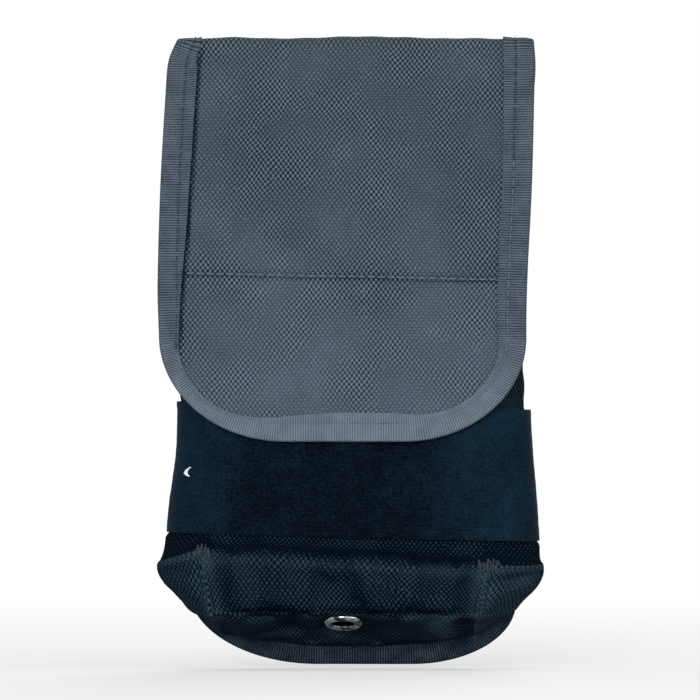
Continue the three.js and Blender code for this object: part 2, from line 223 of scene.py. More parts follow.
def lathe(name, profile, centre, axis, look, node):
    """A turned ring from a closed profile of (radius, height along axis)."""
    side = unit(np.cross(axis, [1.0, 0.2, 0.1]))
    radius, height = np.array(profile).T[..., None]
    points = rings(centre + height * axis, side, np.cross(axis, side), radius[..., None], 96)
    index = numbered(points)
    faces = between_rings(index, np.roll(index, -1, 0))
    make_piece(name, points, faces, points[..., :2], look, node=node, smooth_angle=35)


def thread_row(name, path, normals, look, body="pouch", length=3.0, gap=0.6, radius=0.24):
    """A row of lock stitches along a line on the cloth. Each stitch stands a little proud of the cloth and
    dives into it at both ends."""
    along = lengths(path)
    count = max(1, int(along[-1] / (length + gap)))
    pitch = along[-1] / count
    reach = np.linspace(0, 1, 6)
    places = np.arange(count)[:, None] * pitch + (pitch - length) / 2 + reach * length
    middle, up = read_at(places, along, path), unit(read_at(places, along, normals))
    side = unit(np.cross(np.gradient(middle, axis=1), up))
    arch = np.sqrt(np.sin(np.pi * reach))[:, None]
    thick = radius * (0.55 + 0.45 * arch)
    points = rings(middle + up * radius * (1.7 * arch - 1.1), side, up, thick[..., None])
    faces = []
    for stitch in range(count):
        faces += tube_faces(len(reach), points.shape[2], stitch * points[0, ..., 0].size)
    make_piece(name, points, faces, points[..., [0, 2]], look, body, smooth_angle=80)


def cord(name, path, radius, look, node):
    """A round thread along a line."""
    path = respaced(path, 0.3)
    ahead = unit(np.gradient(path, axis=0))
    side = unit(np.cross(ahead, [0.31, 0.9, 0.3]))
    points = rings(path, side, np.cross(side, ahead), radius)
    faces = tube_faces(*points.shape[:2])
    make_piece(name, points, faces, points[..., [0, 2]], look, node=node, smooth_angle=80)


# ---------- Materials ----------


class Value:
    """A number that nodes work out at each point of a surface. Sums with it add nodes to the same tree."""

    def __init__(self, nodes, socket):
        self.nodes, self.socket = nodes, socket

    def math(self, operation, *others):
        return self.nodes.value("ShaderNodeMath", self, *others, operation=operation)

    def __add__(self, other):
        return self.math("ADD", other)

    def __sub__(self, other):
        return self.math("SUBTRACT", other)

    def __mul__(self, other):
        return self.math("MULTIPLY", other)

    def __pow__(self, other):
        return self.math("POWER", other)

    def sine(self, pitch):
        return (self * (math.pi / pitch)).math("SINE")

    def ribs(self, pitch):
        """From 0 up to 1 and back for each pitch."""
        return self.sine(pitch).math("ABSOLUTE")

    def spread(self, low, high, to_low=0.0, to_high=1.0):
        return self.nodes.value("ShaderNodeMapRange", self, low, high, to_low, to_high)


class Nodes:
    """The node tree of a material or a world."""

    def __init__(self, owner):
        owner.use_nodes = True
        self.tree = owner.node_tree

    def feed(self, socket, value):
        if isinstance(value, Value):
            self.tree.links.new(value.socket, socket)
        elif value is not None:
            socket.default_value = value

    def value(self, kind, *inputs, output=0, **settings):
        """One output of a new node, whose first inputs are fed in order."""
        made = self.tree.nodes.new(kind)
        for key, setting in settings.items():
            setattr(made, key, setting)
        for socket, value in zip(made.inputs, inputs):
            self.feed(socket, value)
        return Value(self, made.outputs[output])

    def blend(self, factor, a, b):
        return self.value("ShaderNodeMix", factor, None, a, b)

    def tint(self, factor, a, b):
        # a colour mix has its colours in the seventh and eighth inputs
        return self.value("ShaderNodeMix", factor, *[None] * 5, a, b, output=2, data_type="RGBA")

    def shade(self, **values):
        """Values for the material's shader. An underscore stands for a space."""
        for key, value in values.items():
            self.feed(self.tree.nodes["Principled BSDF"].inputs[key.replace("_", " ")], value)


class Look(Nodes):
    """A cloth, tape, thread or metal: a material, its slot and the patterns it is made of."""

    def __init__(self, name, slot):
        self.material = bpy.data.materials.new(name)
        self.slot = slot
        super().__init__(self.material)
        uv = self.value("ShaderNodeUVMap", uv_map="cloth")
        self.u = self.value("ShaderNodeSeparateXYZ", uv)
        self.v = Value(self, self.u.socket.node.outputs[1])
        self.place = self.value("ShaderNodeCombineXYZ", self.u, self.v)
        self.wear_and_shade = self.value("ShaderNodeAttribute", attribute_name="wear_and_shade", output="Fac")

    def noise(self, size, detail, squeeze=(1, 1, 1)):
        """Noise with features of the given size in millimetres, laid out flat on the cloth."""
        place = self.value("ShaderNodeVectorMath", self.place, squeeze, operation="MULTIPLY")
        return self.value("ShaderNodeTexNoise", place, None, 1 / size, detail)

    # tone moves with each point's fade value, which holds wear and painted light and shade
    def faded_and_shaded(self, tone, dark, light):
        return self.tint(tone + (self.wear_and_shade - 0.5), dark, light)

    def finish(self, color, roughness, height, depth, specular=0.25, sheen=0.0, metallic=0.0):
        """color and roughness are numbers or values. height is a bump of the given depth in millimetres."""
        bump = self.value("ShaderNodeBump", 1.0, depth * MM, None, height)
        self.shade(Base_Color=color, Roughness=roughness, Normal=bump, Metallic=metallic)
        self.shade(Specular_IOR_Level=specular, Sheen_Weight=sheen, Sheen_Roughness=0.45)
        return self


def rgb(red, green, blue):
    """A linear colour from an sRGB one on the scale of 255."""
    values = np.array([red, green, blue]) / 255
    return (*np.where(values > 0.04045, ((values + 0.055) / 1.055) ** 2.4, values / 12.92), 1.0)


WARP_PITCH = 0.93
WEFT_PITCH = 1.19
RIB_PITCH = 1.0
LINT = rgb(150, 158, 165)


def cordura(name, slot, dark, light, contrast=0.38, lint=0.4, specular=0.06):
    """Plain weave of coarse textured yarn. Pale crossings stand proud between dark, sunken ones."""
    look = Look(name, slot)
    drift = (look.noise(9, 2) - 0.5) * 1.6
    a = (look.u + drift).sine(WARP_PITCH)
    b = (look.v + drift).sine(WEFT_PITCH)
    check = a * b
    across, along = a.math("ABSOLUTE"), b.math("ABSOLUTE")
    warp = across**0.7 * along.spread(0, 1, 0.45, 1.0)
    weft = along**0.7 * across.spread(0, 1, 0.45, 1.0)
    height = look.blend(check.math("GREATER_THAN", 0.0), weft * 0.55, warp)
    fibre = look.noise(0.6, 3)
    strength = look.noise(22, 4).spread(0.38, 0.62, 0.4, 1.2)
    weave = check.math("MINIMUM", 0.0) * contrast + check.math("MAXIMUM", 0.0) * (0.65 * contrast)
    rows = (along - 0.62) * strength.spread(0.4, 1.2, 0.13, 0.06)
    tone = weave * strength + 0.32 + rows + (fibre - 0.5) * 0.45 + (look.noise(11, 4) - 0.5) * 0.16
    specks = look.noise(1.0, 0).spread(0.80, 0.83, 0.0, lint)
    color = look.tint(specks, look.faded_and_shaded(tone, dark, light), LINT)
    rough = fibre.spread(0.3, 0.7, 0.72, 0.95)
    return look.finish(color, rough, height + fibre * 0.3, 0.3, specular=specular)


def grosgrain(name, slot, dark, light, blot=0.0):
    """Tape with ribs across it, and fine yarns that run along it."""
    look = Look(name, slot)
    fibre = look.noise(0.6, 3)
    height = look.u.ribs(RIB_PITCH) ** 0.6 * 0.85 + look.v.ribs(0.45) * 0.15
    tone = height.spread(0.1, 1.0, 0.12, 0.66) + (fibre - 0.5) * 0.5 + (look.noise(7, 4) - 0.5) * 0.35
    tone = tone - look.noise(2.6, 4).spread(0.56, 0.66, 0.0, blot)
    rough = fibre.spread(0.3, 0.7, 0.75, 0.95)
    return look.finish(look.faded_and_shaded(tone, dark, light), rough, height, 0.16, specular=0.08)


def elastic(name, slot, dark, light, edge):
    """Woven elastic: fine ribs up the band, rows of rubber along it and a painted pale sheen on its edges,
    where it turns away from view.
    """
    look = Look(name, slot)
    fibre = look.noise(0.8, 4)
    height = look.u.ribs(0.8) * 0.3 + look.v.ribs(1.55) * 0.2 + fibre * 0.8
    tone = height.spread(0.2, 1.1, 0.1, 0.5) + (look.noise(5, 5) - 0.5) * 0.6
    tone = tone + (look.noise(1.3, 2) - 0.5) * 0.9
    # a painted sheen: lighter where the band is seen edge-on
    facing = look.value("ShaderNodeLayerWeight", output="Facing")
    grazing_sheen = (facing**2.0).spread(0.1, 0.9, 0.0, 0.8)
    color = look.tint(grazing_sheen, look.faded_and_shaded(tone, dark, light), edge)
    return look.finish(color, fibre.spread(0.3, 0.7, 0.7, 0.92), height, 0.12, specular=0.05)


def webbing(name, slot, dark, light):
    """Belt webbing: herringbone rows along the strap."""
    look = Look(name, slot)
    zigzag = (look.u * (1 / 3.2)).math("PINGPONG", 1.0)
    fibre = look.noise(0.6, 3)
    height = (look.v + zigzag * 2.4).ribs(1.6) * 0.75 + look.u.ribs(0.9) * 0.25
    tone = height.spread(0.1, 1.0, 0.0, 0.8) + (fibre - 0.5) * 0.5
    rough = fibre.spread(0.3, 0.7, 0.55, 0.8)
    return look.finish(look.faded_and_shaded(tone, dark, light), rough, height, 0.3, specular=0.15)


def napped(name, slot, dark, light, pile):
    """Hook tape has rows of stubs, and loop tape a tangled nap. pile is the share of nap."""
    look = Look(name, slot)
    height = look.blend(pile, look.u.ribs(1.1) * look.v.ribs(1.4), look.noise(1.1, 5))
    color = look.tint(height.spread(0.2, 0.85), dark, light)
    return look.finish(color, 0.9, height, 0.5, specular=0.15, sheen=0.12 * pile)


def steel(name, slot, bright, dull):
    """Polished plate with dents, fine scratches and dark salt marks round it."""
    look = Look(name, slot)
    scratches = look.noise(1.2, 5, squeeze=(1, 6, 1))
    marks = look.noise(3.0, 4, squeeze=(0.6, 1.6, 1)).spread(0.44, 0.58)
    rough = scratches.spread(0.3, 0.7, 0.06, 0.14) + marks * 0.12
    relief = look.noise(3.5, 2) * 12.0 + scratches
    return look.finish(look.tint(marks, bright, dull), rough, relief, 0.012, specular=0.5, metallic=1.0)


def plain(name, slot, dark, light, size=0.35, rough=(0.6, 0.85), depth=0.06, specular=0.15):
    """Thread or plastic, with a fine cloudy grain."""
    look = Look(name, slot)
    grain = look.noise(size, 3)
    color = look.tint(grain, dark, light)
    return look.finish(color, grain.spread(0.3, 0.7, *rough), grain, depth, specular=specular)


# The panel and the pocket are one cordura. The pocket's copy is painted darker, as the shade the lower parts
# stand in, and the panel's lighter where it faces the light, besides its fading.
PANEL_CLOTH = cordura("faded_and_lit_cordura", "cordura", rgb(16, 30, 42), rgb(144, 162, 178))
POCKET_CLOTH = cordura(
    "pocket_cordura", "pocket_cordura", rgb(0, 9, 19), rgb(77, 105, 122), contrast=0.36, lint=0.15,
    specular=0.03,
)
FLAP_TAPE = grosgrain("flap_grosgrain", "grosgrain", rgb(8, 24, 38), rgb(138, 152, 167))
BODY_TAPE = grosgrain("body_grosgrain", "grosgrain", rgb(2, 16, 28), rgb(80, 100, 116), blot=0.14)
# the elastic's last colour is the painted sheen along its edges
BAND = elastic("wide_elastic", "elastic", rgb(0, 5, 13), rgb(22, 48, 66), rgb(46, 60, 76))
STRAP = webbing("belt_webbing", "webbing", rgb(8, 14, 20), rgb(76, 86, 96))
HOOKS = napped("hook_tape", "hook_and_loop", rgb(3, 4, 5), rgb(60, 66, 72), 0.15)
LOOPS = napped("loop_tape", "hook_and_loop", rgb(4, 6, 8), rgb(64, 70, 76), 1.0)
NICKEL = steel("polished_nickel", "nickel", rgb(232, 238, 245), rgb(74, 80, 90))
TAPE_THREAD = plain("tape_thread", "thread", rgb(26, 38, 50), rgb(64, 78, 92))
DARK_THREAD = plain("dark_thread", "thread", rgb(10, 18, 26), rgb(38, 50, 60))
PALE_THREAD = plain("pale_thread", "thread", rgb(70, 86, 98), rgb(128, 144, 154))
TACK_THREAD = plain("tack_thread", "thread", rgb(14, 25, 30), rgb(66, 80, 84))
NYLON_BARB = plain(
    "white_nylon", "thread", rgb(236, 238, 240), rgb(250, 250, 250), size=0.6, rough=(0.3, 0.5), depth=0.03,
    specular=0.5,
)


# ---------- The long panel: back of the pouch, over the fold, and down as the flap ----------
# One strip of cloth, laid out flat as x across and s along it from the bottom edge of the back. Height h is
# measured off its outer face's side: rearwards on the back and forwards on the flap.
CLOTH = 1.1
TAPE = 0.6
PANEL_Y = -0.6
FOLD_HEIGHT = 237.6
FOLD_RADIUS = 4.0
FOLD_TURN = math.radians(155)
FLAP_END_Z = 86.9
FLAP_END_DEPTH = 30.4
FLAP_FALL = 48.0  # drop in which the flap comes out most of that depth
STITCH_LINE_Z = 150.2  # the stitch line across the flap


def panel_profile():
    """Rows of (s, y, z, normal y, normal z) for the strip's middle."""
    spare = 2  # cloth past the bottom edge, so that nothing near it is read outside the table
    back = [(PANEL_Y, z) for z in np.arange(-spare, FOLD_HEIGHT, 1.0)]
    turn = np.linspace(0, FOLD_TURN, 40)
    centre_y = PANEL_Y - FOLD_RADIUS
    arc = [(centre_y + FOLD_RADIUS * math.cos(a), FOLD_HEIGHT + FOLD_RADIUS * math.sin(a)) for a in turn]
    start_y, start_z = arc[-1]
    heights = np.arange(start_z - 1, FLAP_END_Z - 4, -1.0)
    share = 1 - np.exp(-(start_z - heights) / FLAP_FALL)
    full = 1 - math.exp(-(start_z - FLAP_END_Z) / FLAP_FALL)
    depths = -start_y + (FLAP_END_DEPTH + start_y) * share / full
    points = np.array(back + arc + list(zip(-depths, heights)))
    ahead = unit(np.gradient(points, axis=0))
    return np.column_stack([lengths(points) - spare, points, ahead[:, 1], -ahead[:, 0]])


PROFILE = panel_profile()
TOP_ROW = np.argmax(PROFILE[:, 2])


def flap_s(height):
    """How far along the strip a height on the flap lies."""
    down = PROFILE[TOP_ROW:][::-1]
    return float(np.interp(height, down[:, 2], down[:, 0]))


FOLD_S = float(PROFILE[TOP_ROW, 0])
END_S = flap_s(FLAP_END_Z)
LINE_S = flap_s(STITCH_LINE_Z)
BACK_SPLIT_S = 214.0  # the strip is in three pieces, which split here
FLAP_SPLIT_S = flap_s(196)
FLAP_HANG = -4.0  # the flap hangs a little to the left


def stitch_line_s(x):
    """The stitch line across the flap sinks to the right."""
    return LINE_S - 0.6 + 0.02 * x


def on_panel(x, s, h):
    """Points in space for places on the strip."""
    x, s, h = np.broadcast_arrays(np.asarray(x, float), np.asarray(s, float), np.asarray(h, float))
    y, z, normal_y, normal_z = (np.interp(s, PROFILE[:, 0], column) for column in PROFILE.T[1:])
    flap = ease(s, FOLD_S - 30, FOLD_S + 25)
    lift = (0.28 + 0.32 * flap) * ripple(x, s, 42, 3) + 0.14 * ripple(x, s, 15, 5)
    lift += 2.0 * (1 - (x / 72) ** 6) * hump(s, FOLD_S, 18)
    lift -= 0.5 * hump(s, stitch_line_s(x), 2.2) * (np.abs(x) < 62)
    lift += 0.35 * ease(s, LINE_S, LINE_S + 8) * flap
    lift += 0.5 * ease(np.abs(x), 55, 72) * flap * ripple(0 * x, s, 60, 12)
    x = x + FLAP_HANG * ease(s, FOLD_S - 40, FOLD_S + 112)
    return np.stack([x, y + normal_y * (h + lift), z + normal_z * (h + lift)], axis=-1)


BACK_RIM = 1.2  # the bindings stand this far past the cloth's edges
FLAP_RIM = 0.9
BACK_CORNER = {-1: (49.5, 30.0), 1: (39.4, 24.0)}  # width and height of the rounded corners
FLAP_CORNER = {-1: (47.8, 41.2), 1: (46.5, 40.0)}
BACK_LOW_HALF = {-1: 63.5, 1: 64.2}
FLAP_HALF = {-1: 70.5, 1: 71.2}


def rounded(past_corner, width, height, rim):
    """How far an edge has come in, this far past the start of its rounded corner."""
    low = np.clip(past_corner / (height - rim), 0, 1)
    return width * (1 - np.sqrt(1 - low * low))


def back_edge(s, side):
    """Edge of the back panel's cloth on one side."""
    width, height = BACK_CORNER[side]
    half = BACK_LOW_HALF[side] - BACK_RIM + 6.6 * ease(s, 100, 225)
    return side * (half - rounded(height - s, width, height, BACK_RIM))


def flap_edge(s, side):
    """Edge of the flap's cloth on one side, with its rounded lower corner."""
    width, height = FLAP_CORNER[side]
    half = FLAP_HALF[side] - FLAP_RIM + 0.5 * ease(s, FOLD_S, FOLD_S + 60)
    if side < 0:
        half = half - 3.2 * hump(s, FOLD_S, 6.5) - 0.8 * ease(s, LINE_S + 2, LINE_S + 30)
    else:
        half = half - 0.5 * hump(s, FOLD_S, 6.5) + 1.2 * (1 - ease(s, LINE_S - 40, LINE_S + 20))
    return side * (half - rounded(s - (END_S - height), width, height, FLAP_RIM))


def panel_edge(s, side):
    share = ease(s, FOLD_S - 34, FOLD_S - 8)
    return back_edge(s, side) * (1 - share) + flap_edge(s, side) * share


FOLD_TAPE_WIDTH = 10.7


def left_tape_width(s):
    """Width of the binding on the flap's left side, which narrows towards the corner."""
    return np.interp(END_S - s, [2, 8, 26, 50, 80, 110], [6.4, 4.9, 5.6, 7.6, 9.8, FOLD_TAPE_WIDTH])


def panel_wear_and_shade(x, s):
    """The flap is more faded than the back, and is painted lighter towards its free end, where it faces the
    light.
    Painted shade lies in the groove where the stitch line sinks in, and a painted shadow beside the binding
    that gapes on its left."""
    # more faded on the flap than the back, and painted lighter towards the flap's free end, where it faces
    # the light
    wear_and_shade = 0.30 + 0.12 * ease(s, FOLD_S - 40, FOLD_S + 15) + 0.08 * ease(s, FOLD_S + 40, END_S)
    # a painted shadow along the inner edge of the binding that gapes on the left
    shadow = hump(x, panel_edge(s, -1) + left_tape_width(s) + 0.3, 0.9)
    shadow = shadow * ease(s, FOLD_S, FOLD_S + 12) * (1 - ease(s, END_S - 44, END_S - 26))
    below = s - stitch_line_s(x)
    # painted shade in the groove below and above the stitch line
    groove_shade = 0.16 * hump(below, 0.9, 0.7) + 0.07 * hump(below, -1.0, 0.6)
    return wear_and_shade + 0.02 * ripple(x, s, 50, 91) - 0.4 * shadow - groove_shade * (np.abs(x) < 62)


# Cloth that crosses a hinge names two bodies and a place on each, in metres; such a piece is left unattached.
TIP_AXIS_Z = next(joint["pos_m"][2] for joint in frame["joints"] if joint["name"] == "tip_peel")
FOLD_BEND = ("pouch", "flap", (0, -0.0012, 0), (0, -0.0105, 0))
TIP_BEND = ("flap", "flap_tip", (0, 0, TIP_AXIS_Z + 0.0085), (0, 0, TIP_AXIS_Z - 0.0075))


def strip(name, rows, columns, body, node):
    """Cloth of the panel between its left and right edges."""
    s = rows[:, None]
    share = np.linspace(0, 1, columns)
    x = panel_edge(s, -1) * (1 - share) + panel_edge(s, 1) * share
    sheet(name, on_panel(x, s, 0), CLOTH, pair(x, s), PANEL_CLOTH, body, node, wear_and_shade=panel_wear_and_shade(x, s))


def curved_rows(start, end, count):
    """Rows that crowd together towards the end, where a corner closes."""
    return start + (end - start) * np.sin(np.linspace(0, np.pi / 2, count))


def joined(*stretches):
    """Rows of numbers end to end, where each starts with the last number of the one before."""
    return np.concatenate([stretch[:-1] for stretch in stretches[:-1]] + [stretches[-1]])


def make_panel():
    corner = BACK_CORNER[-1][1]
    low_rows = curved_rows(corner, BACK_RIM + 0.3, 40)[::-1]
    back_rows = joined(low_rows, np.linspace(corner, BACK_SPLIT_S, 118))
    strip("back_panel_cloth", back_rows, 90, "pouch", "back_panel")
    fold_rows = joined(
        np.linspace(BACK_SPLIT_S, FOLD_S - 14, 12),
        np.linspace(FOLD_S - 14, FOLD_S + 20, 58),
        np.linspace(FOLD_S + 20, FLAP_SPLIT_S, 20),
    )
    strip("flap_fold_cloth", fold_rows, 110, FOLD_BEND, "flap_upper")
    corner = END_S - FLAP_CORNER[-1][1]
    end_rows = curved_rows(corner, END_S - FLAP_RIM - 0.3, 40)
    flap_rows = joined(np.linspace(FLAP_SPLIT_S, corner, 70), end_rows)
    strip("flap_cloth", flap_rows, 110, TIP_BEND, "flap_lower")


# ---------- Binding ----------
SEWN_IN = 6.5  # the stitches of the flap's bindings lie this far in from the edge
BACK_SEWN_IN = 4.8
SEAM_TOP = 26  # height up to which the back's binding is sewn through in front too
CLOTH_HALF = CLOTH / 2 + 0.08
SEAM_PLY = 1.1  # the pocket's cloth is caught in the binding in front of the back panel


def outward(path):
    """Unit directions in the flat strip that point away from its middle line."""
    ahead = unit(np.gradient(path, axis=0))
    out = np.column_stack([ahead[:, 1], -ahead[:, 0]])
    return out if np.sum(out[:, 0] * path[:, 0]) > 0 else -out


def tape_profile(stations, plus, minus, lip_plus, lip_minus, lift):
    """Closed outline of tape folded over an edge, as (in-plane, height) for each station. plus and minus
    are the heights of the tape's inner faces on the two sides, and lift is how far the front lip gapes."""
    plus, minus, lip_plus, lip_minus, lift = (
        (value + np.zeros(stations))[:, None] for value in (plus, minus, lip_plus, lip_minus, lift)
    )
    inwards = np.linspace(0, 1, 17)
    turn = np.linspace(np.pi / 2, -np.pi / 2, 9)[1:-1]

    def flank(lip, height, share, gape):
        return -lip * share, height + gape * np.sign(height) * share**3

    def nose(extra, angles):
        radius = (plus + minus) / 2 + extra
        return 0.7 * radius * np.cos(angles), (plus - minus) / 2 + radius * np.sin(angles)

    parts = [
        flank(lip_plus, plus + TAPE, inwards[::-1], lift),
        nose(TAPE, turn),
        flank(lip_minus, -minus - TAPE, inwards, 0.1),
        flank(lip_minus, -minus, inwards[::-1], 0.1),
        nose(0, turn[::-1]),
        flank(lip_plus, plus, inwards, lift),
    ]
    return [np.concatenate(columns, axis=1) for columns in zip(*parts)]


def tape_uvs(along, a, b):
    """Tape laid flat: its length, and the way round its outline."""
    return pair(along, lengths(np.column_stack([a[0], b[0]])))


def bind(name, path, heights, lips, body, node, lift, wear_and_shade):
    """Tape folded over the panel's edge along a path of (x, s). heights and lips are (outer, inner)."""
    a, b = tape_profile(len(path), *heights, *lips, lift)
    along = lengths(path)[:, None]
    inside = ease(along, 0, 6) * ease(along[-1] - along, 0, 6)
    b = b + 0.12 * ripple(along, a, 9, 21) * (np.abs(b) > 0.2) * inside
    sewn = np.minimum(lips[0] - 1.0, SEWN_IN)[:, None]
    groove = hump(a, -sewn, 0.55) * (b > (heights[0] + TAPE / 2))
    b = b - 0.16 * groove
    x, s = np.moveaxis(path[:, None] + outward(path)[:, None] * a[..., None], -1, 0)
    ribs = along * np.round(along[-1] / RIB_PITCH) * RIB_PITCH / along[-1]  # a whole number of them
    # painted shade in the groove where the stitches sink in
    wear_and_shade = wear_and_shade[:, None] - 0.06 * groove
    faces, uvs = tube_faces(*a.shape), tape_uvs(ribs, a, b)
    make_piece(name, on_panel(x, s, b), faces, uvs, FLAP_TAPE, body, node, wear_and_shade)


def outline(start, edge, corners, end, rim):
    """Down the left edge of the strip from start, round its end and up the right edge, as (x, s)."""
    ahead = np.sign(end - start)
    turn = np.linspace(0, np.pi / 2, 44)
    halves = {}
    for side, (width, height) in corners.items():
        corner = end - ahead * height
        s = np.linspace(start, corner, 70)[:-1]
        x = np.append(edge(s, side), edge(corner, side) - side * width * (1 - np.cos(turn)))
        halves[side] = np.column_stack([x, np.append(s, corner + ahead * (height - rim) * np.sin(turn))])
    return respaced(np.concatenate([halves[-1], halves[1][::-1]]), 1.1)


def fold_outline(side):
    s = np.linspace(BACK_SPLIT_S, FLAP_SPLIT_S, 90)
    return np.column_stack([panel_edge(s, side), s])


def tape_wear(s):
    return 0.14 + 0.14 * ease(s, FOLD_S - 40, FOLD_S + 10) + 0.26 * ease(s, END_S - 50, END_S - 6)


def flap_tape_width(x, s):
    """The flap's binding was turned under unevenly: narrow round the left corner, broad along the bottom."""
    right = np.interp(END_S - s, [2, 8, 30, 50, 80], [8.4, 8.2, 9.2, 10.4, FOLD_TAPE_WIDTH])
    bottom = np.interp(x, [-40, -22, -4, 24, 42], [6.6, 9.0, 10.5, 10.2, 8.2])
    share = ease(END_S - s, 3, 9)
    width = bottom * (1 - share) + np.where(x < 0, left_tape_width(s), right) * share
    reach = 15
    spread = hump(np.arange(-reach, reach + 1), 0, 6 * math.sqrt(2))
    return np.convolve(np.pad(width, reach, mode="edge"), spread / spread.sum(), mode="valid")


FLAP_PATH = outline(FLAP_SPLIT_S, flap_edge, FLAP_CORNER, END_S, FLAP_RIM)
BACK_PATH = outline(BACK_SPLIT_S, back_edge, BACK_CORNER, 0, BACK_RIM)


def make_bindings():
    thin = (CLOTH_HALF, CLOTH_HALF)
    x, s = FLAP_PATH.T
    width = flap_tape_width(x, s)
    gape = 0.3 + 0.6 * ease(END_S - s, 40, 60) * (x < 0)
    lips = width, width - 0.8
    bind("flap_binding", FLAP_PATH, thin, lips, TIP_BEND, "flap_lower_binding", gape, tape_wear(s))
    for side, word in SIDES.items():
        path = fold_outline(side)
        s = path[:, 1]
        width = FOLD_TAPE_WIDTH + 0.6 * hump(s, FOLD_S, 25)
        gape = 0.3
        if side < 0:
            width = width - 2.4 * hump(s, FOLD_S, 9)
            gape = gape + 0.6 * ease(s, FOLD_S + 5, FOLD_S + 20)
        name, node = f"flap_fold_binding_{word}", f"flap_upper_binding_{word}"
        bind(name, path, thin, (width, width - 0.8), FOLD_BEND, node, gape, tape_wear(s))
    x, s = BACK_PATH.T
    inner = CLOTH_HALF + SEAM_PLY * (1 - ease(s, 196, 212))
    width = 8.4 + 2.3 * ease(s, 150, 212) + 0.7 * ripple(x, s, 26, 8)
    wear_and_shade = 0.02 + 0.12 * ease(s, 60, 200)
    heights, lips = (CLOTH_HALF, inner), (width, width - 0.3)
    bind("edge_binding_tape", BACK_PATH, heights, lips, "pouch", "edge_binding", 0.15, wear_and_shade)


# ---------- Pocket ----------
# Knots up the pocket's edges from its bottom seam to above its mouth, as (x outwards, y, height). From the
# elastic upwards they are the same on both sides.
RIDGE_ABOVE = [(52, -24.6, 76), (52, -23.6, 101), (56, -15.6, 204), (56.4, -14.8, 216)]
FOLD_ABOVE = [(68.4, -11, 76), (66.4, -10.5, 101), (65.8, -8, 204), (65.8, -7.6, 216)]
RIDGE = {
    -1: [
        (50.5, -3.4, 12.4), (51.4, -15, 16.6), (52.8, -29, 19.6), (54.8, -32, 23), (56.2, -32.8, 32),
        (57.4, -33, 44.2), (54.4, -25.6, 50.6), *RIDGE_ABOVE,
    ],
    1: [
        (47.5, -3.4, 11.6), (47.8, -15, 16.2), (48.4, -29, 19.2), (49.4, -32, 22.4), (50.6, -32.8, 28.6),
        (52.4, -33, 38), (51.6, -25.6, 45.4), *RIDGE_ABOVE,
    ],
}
FOLD_LINE = {
    -1: [
        (53.4, -3.6, 13.4), (57.6, -5.8, 17.6), (62.8, -8, 22), (66.4, -10.5, 27.0), (72.2, -13, 32.4),
        (74.6, -15, 38.4), (72.2, -13.4, 46.2), *FOLD_ABOVE,
    ],
    1: [
        (51.2, -3.6, 13), (57.2, -5.8, 17.6), (62.8, -8, 21.6), (65.8, -10.5, 25.6), (71.6, -13, 31.8),
        (74.5, -15, 38.2), (72.4, -13.4, 45.8), *FOLD_ABOVE,
    ],
}
SEAM_LINE = [
    (51, -3.4, 14.6), (54.2, -3.4, 18.6), (56, -3.4, 22), (56.6, -3.4, 27), (57, -3.4, 32), (57.2, -3.4, 38),
    (57.4, -3.4, 50), (57.8, -3.4, 76), (58.4, -3.3, 101), (60.6, -3.1, 204), (60.8, -3, 216),
]
POCKET_PLY = 1.0
SEAM_SAG = 4.6  # how far the bottom seam sags between its ends
# Places on the pocket are shares u across it and v of the way up its knots.
EDGE_SHARE = 0.25  # the edge where the box turns under
ROLL_SHARE = 0.478  # the soft roll along the top of the box
CORNER_SHARE = 0.5  # the box corners
MOUTH = 0.9
BULGE_X = 33  # the bulge of the underside, right of the grommet
BULGE_SHARE = 0.13
GROMMET_PLACE = (0.495, 0.16)
GROMMET_HOLE = 4.3  # radius
EDGE_COLUMN = {-1: 0, 1: -1}  # the front panel's edges, among its columns
MOUTH_LIP = 9.5
LOOP_TAPE_Z = (106, 149)
LOOP_TAPE_HALF = 48


def edge_line(knots, side, v):
    return through(np.array(knots) * [side, 1, 1], v)


def front_middle(u, v):
    """The front panel, from the bottom seam forwards under the pocket, round the box and up to the mouth."""
    share = u[..., None]
    points = edge_line(RIDGE[-1], -1, v) * (1 - share) + edge_line(RIDGE[1], 1, v) * share
    points[..., 2] -= SEAM_SAG * 4 * u * (1 - u) * (1 - ease(v, 0, 0.22))
    return points


def front_lift(u, v, points):
    """Unevenness of the front panel along its normal, outwards."""
    x, z = points[..., 0], points[..., 2]
    bow = np.sqrt(np.clip(4 * u * (1 - u), 0, 1))
    face = ease(v, 0.26, 0.34) * (1 - ease(v, 0.5, 0.56))
    under = 1 - ease(v, 0.2, 0.28)
    lift = 1.1 * bow * face + 0.5 * ripple(x, z, 34, 31) * (0.4 + 0.6 * bow) * ease(v, 0.03, 0.1)
    lift += 0.9 * under * ripple(x * 1.4, v * 160, 26, 33) * ease(v, 0.02, 0.1)
    lift += 0.16 * ripple(x, z, 10, 35)
    # a soft roll along the top of the box, with a hollow under it
    lift += 0.9 * hump(v, ROLL_SHARE, 0.022) * bow
    lift -= 0.8 * hump(v, 0.43, 0.035) * bow * (0.6 + 0.4 * ripple(x, 0 * x, 50, 36))
    # puckers that run down and inwards from the tacks
    for side, from_corner in ((-1, u), (1, 1 - u)):
        inwards, drop = from_corner * 105, (CORNER_SHARE - v) * 260
        away = np.hypot(inwards, drop) + 1e-6
        lift += 0.45 * np.cos(np.arctan2(drop, inwards) * 7 + side) * np.exp(-away / 9) * ease(away, 1, 5)
    # the bulge, with a dimple beyond it
    lift += 2.4 * under * hump(x, BULGE_X, 7) * hump(v, BULGE_SHARE, 0.075)
    lift -= 1.5 * under * hump(x, BULGE_X + 10, 4.5) * hump(v, BULGE_SHARE, 0.08)
    return lift * (1 - 0.9 * hump(v, MOUTH, 0.02))


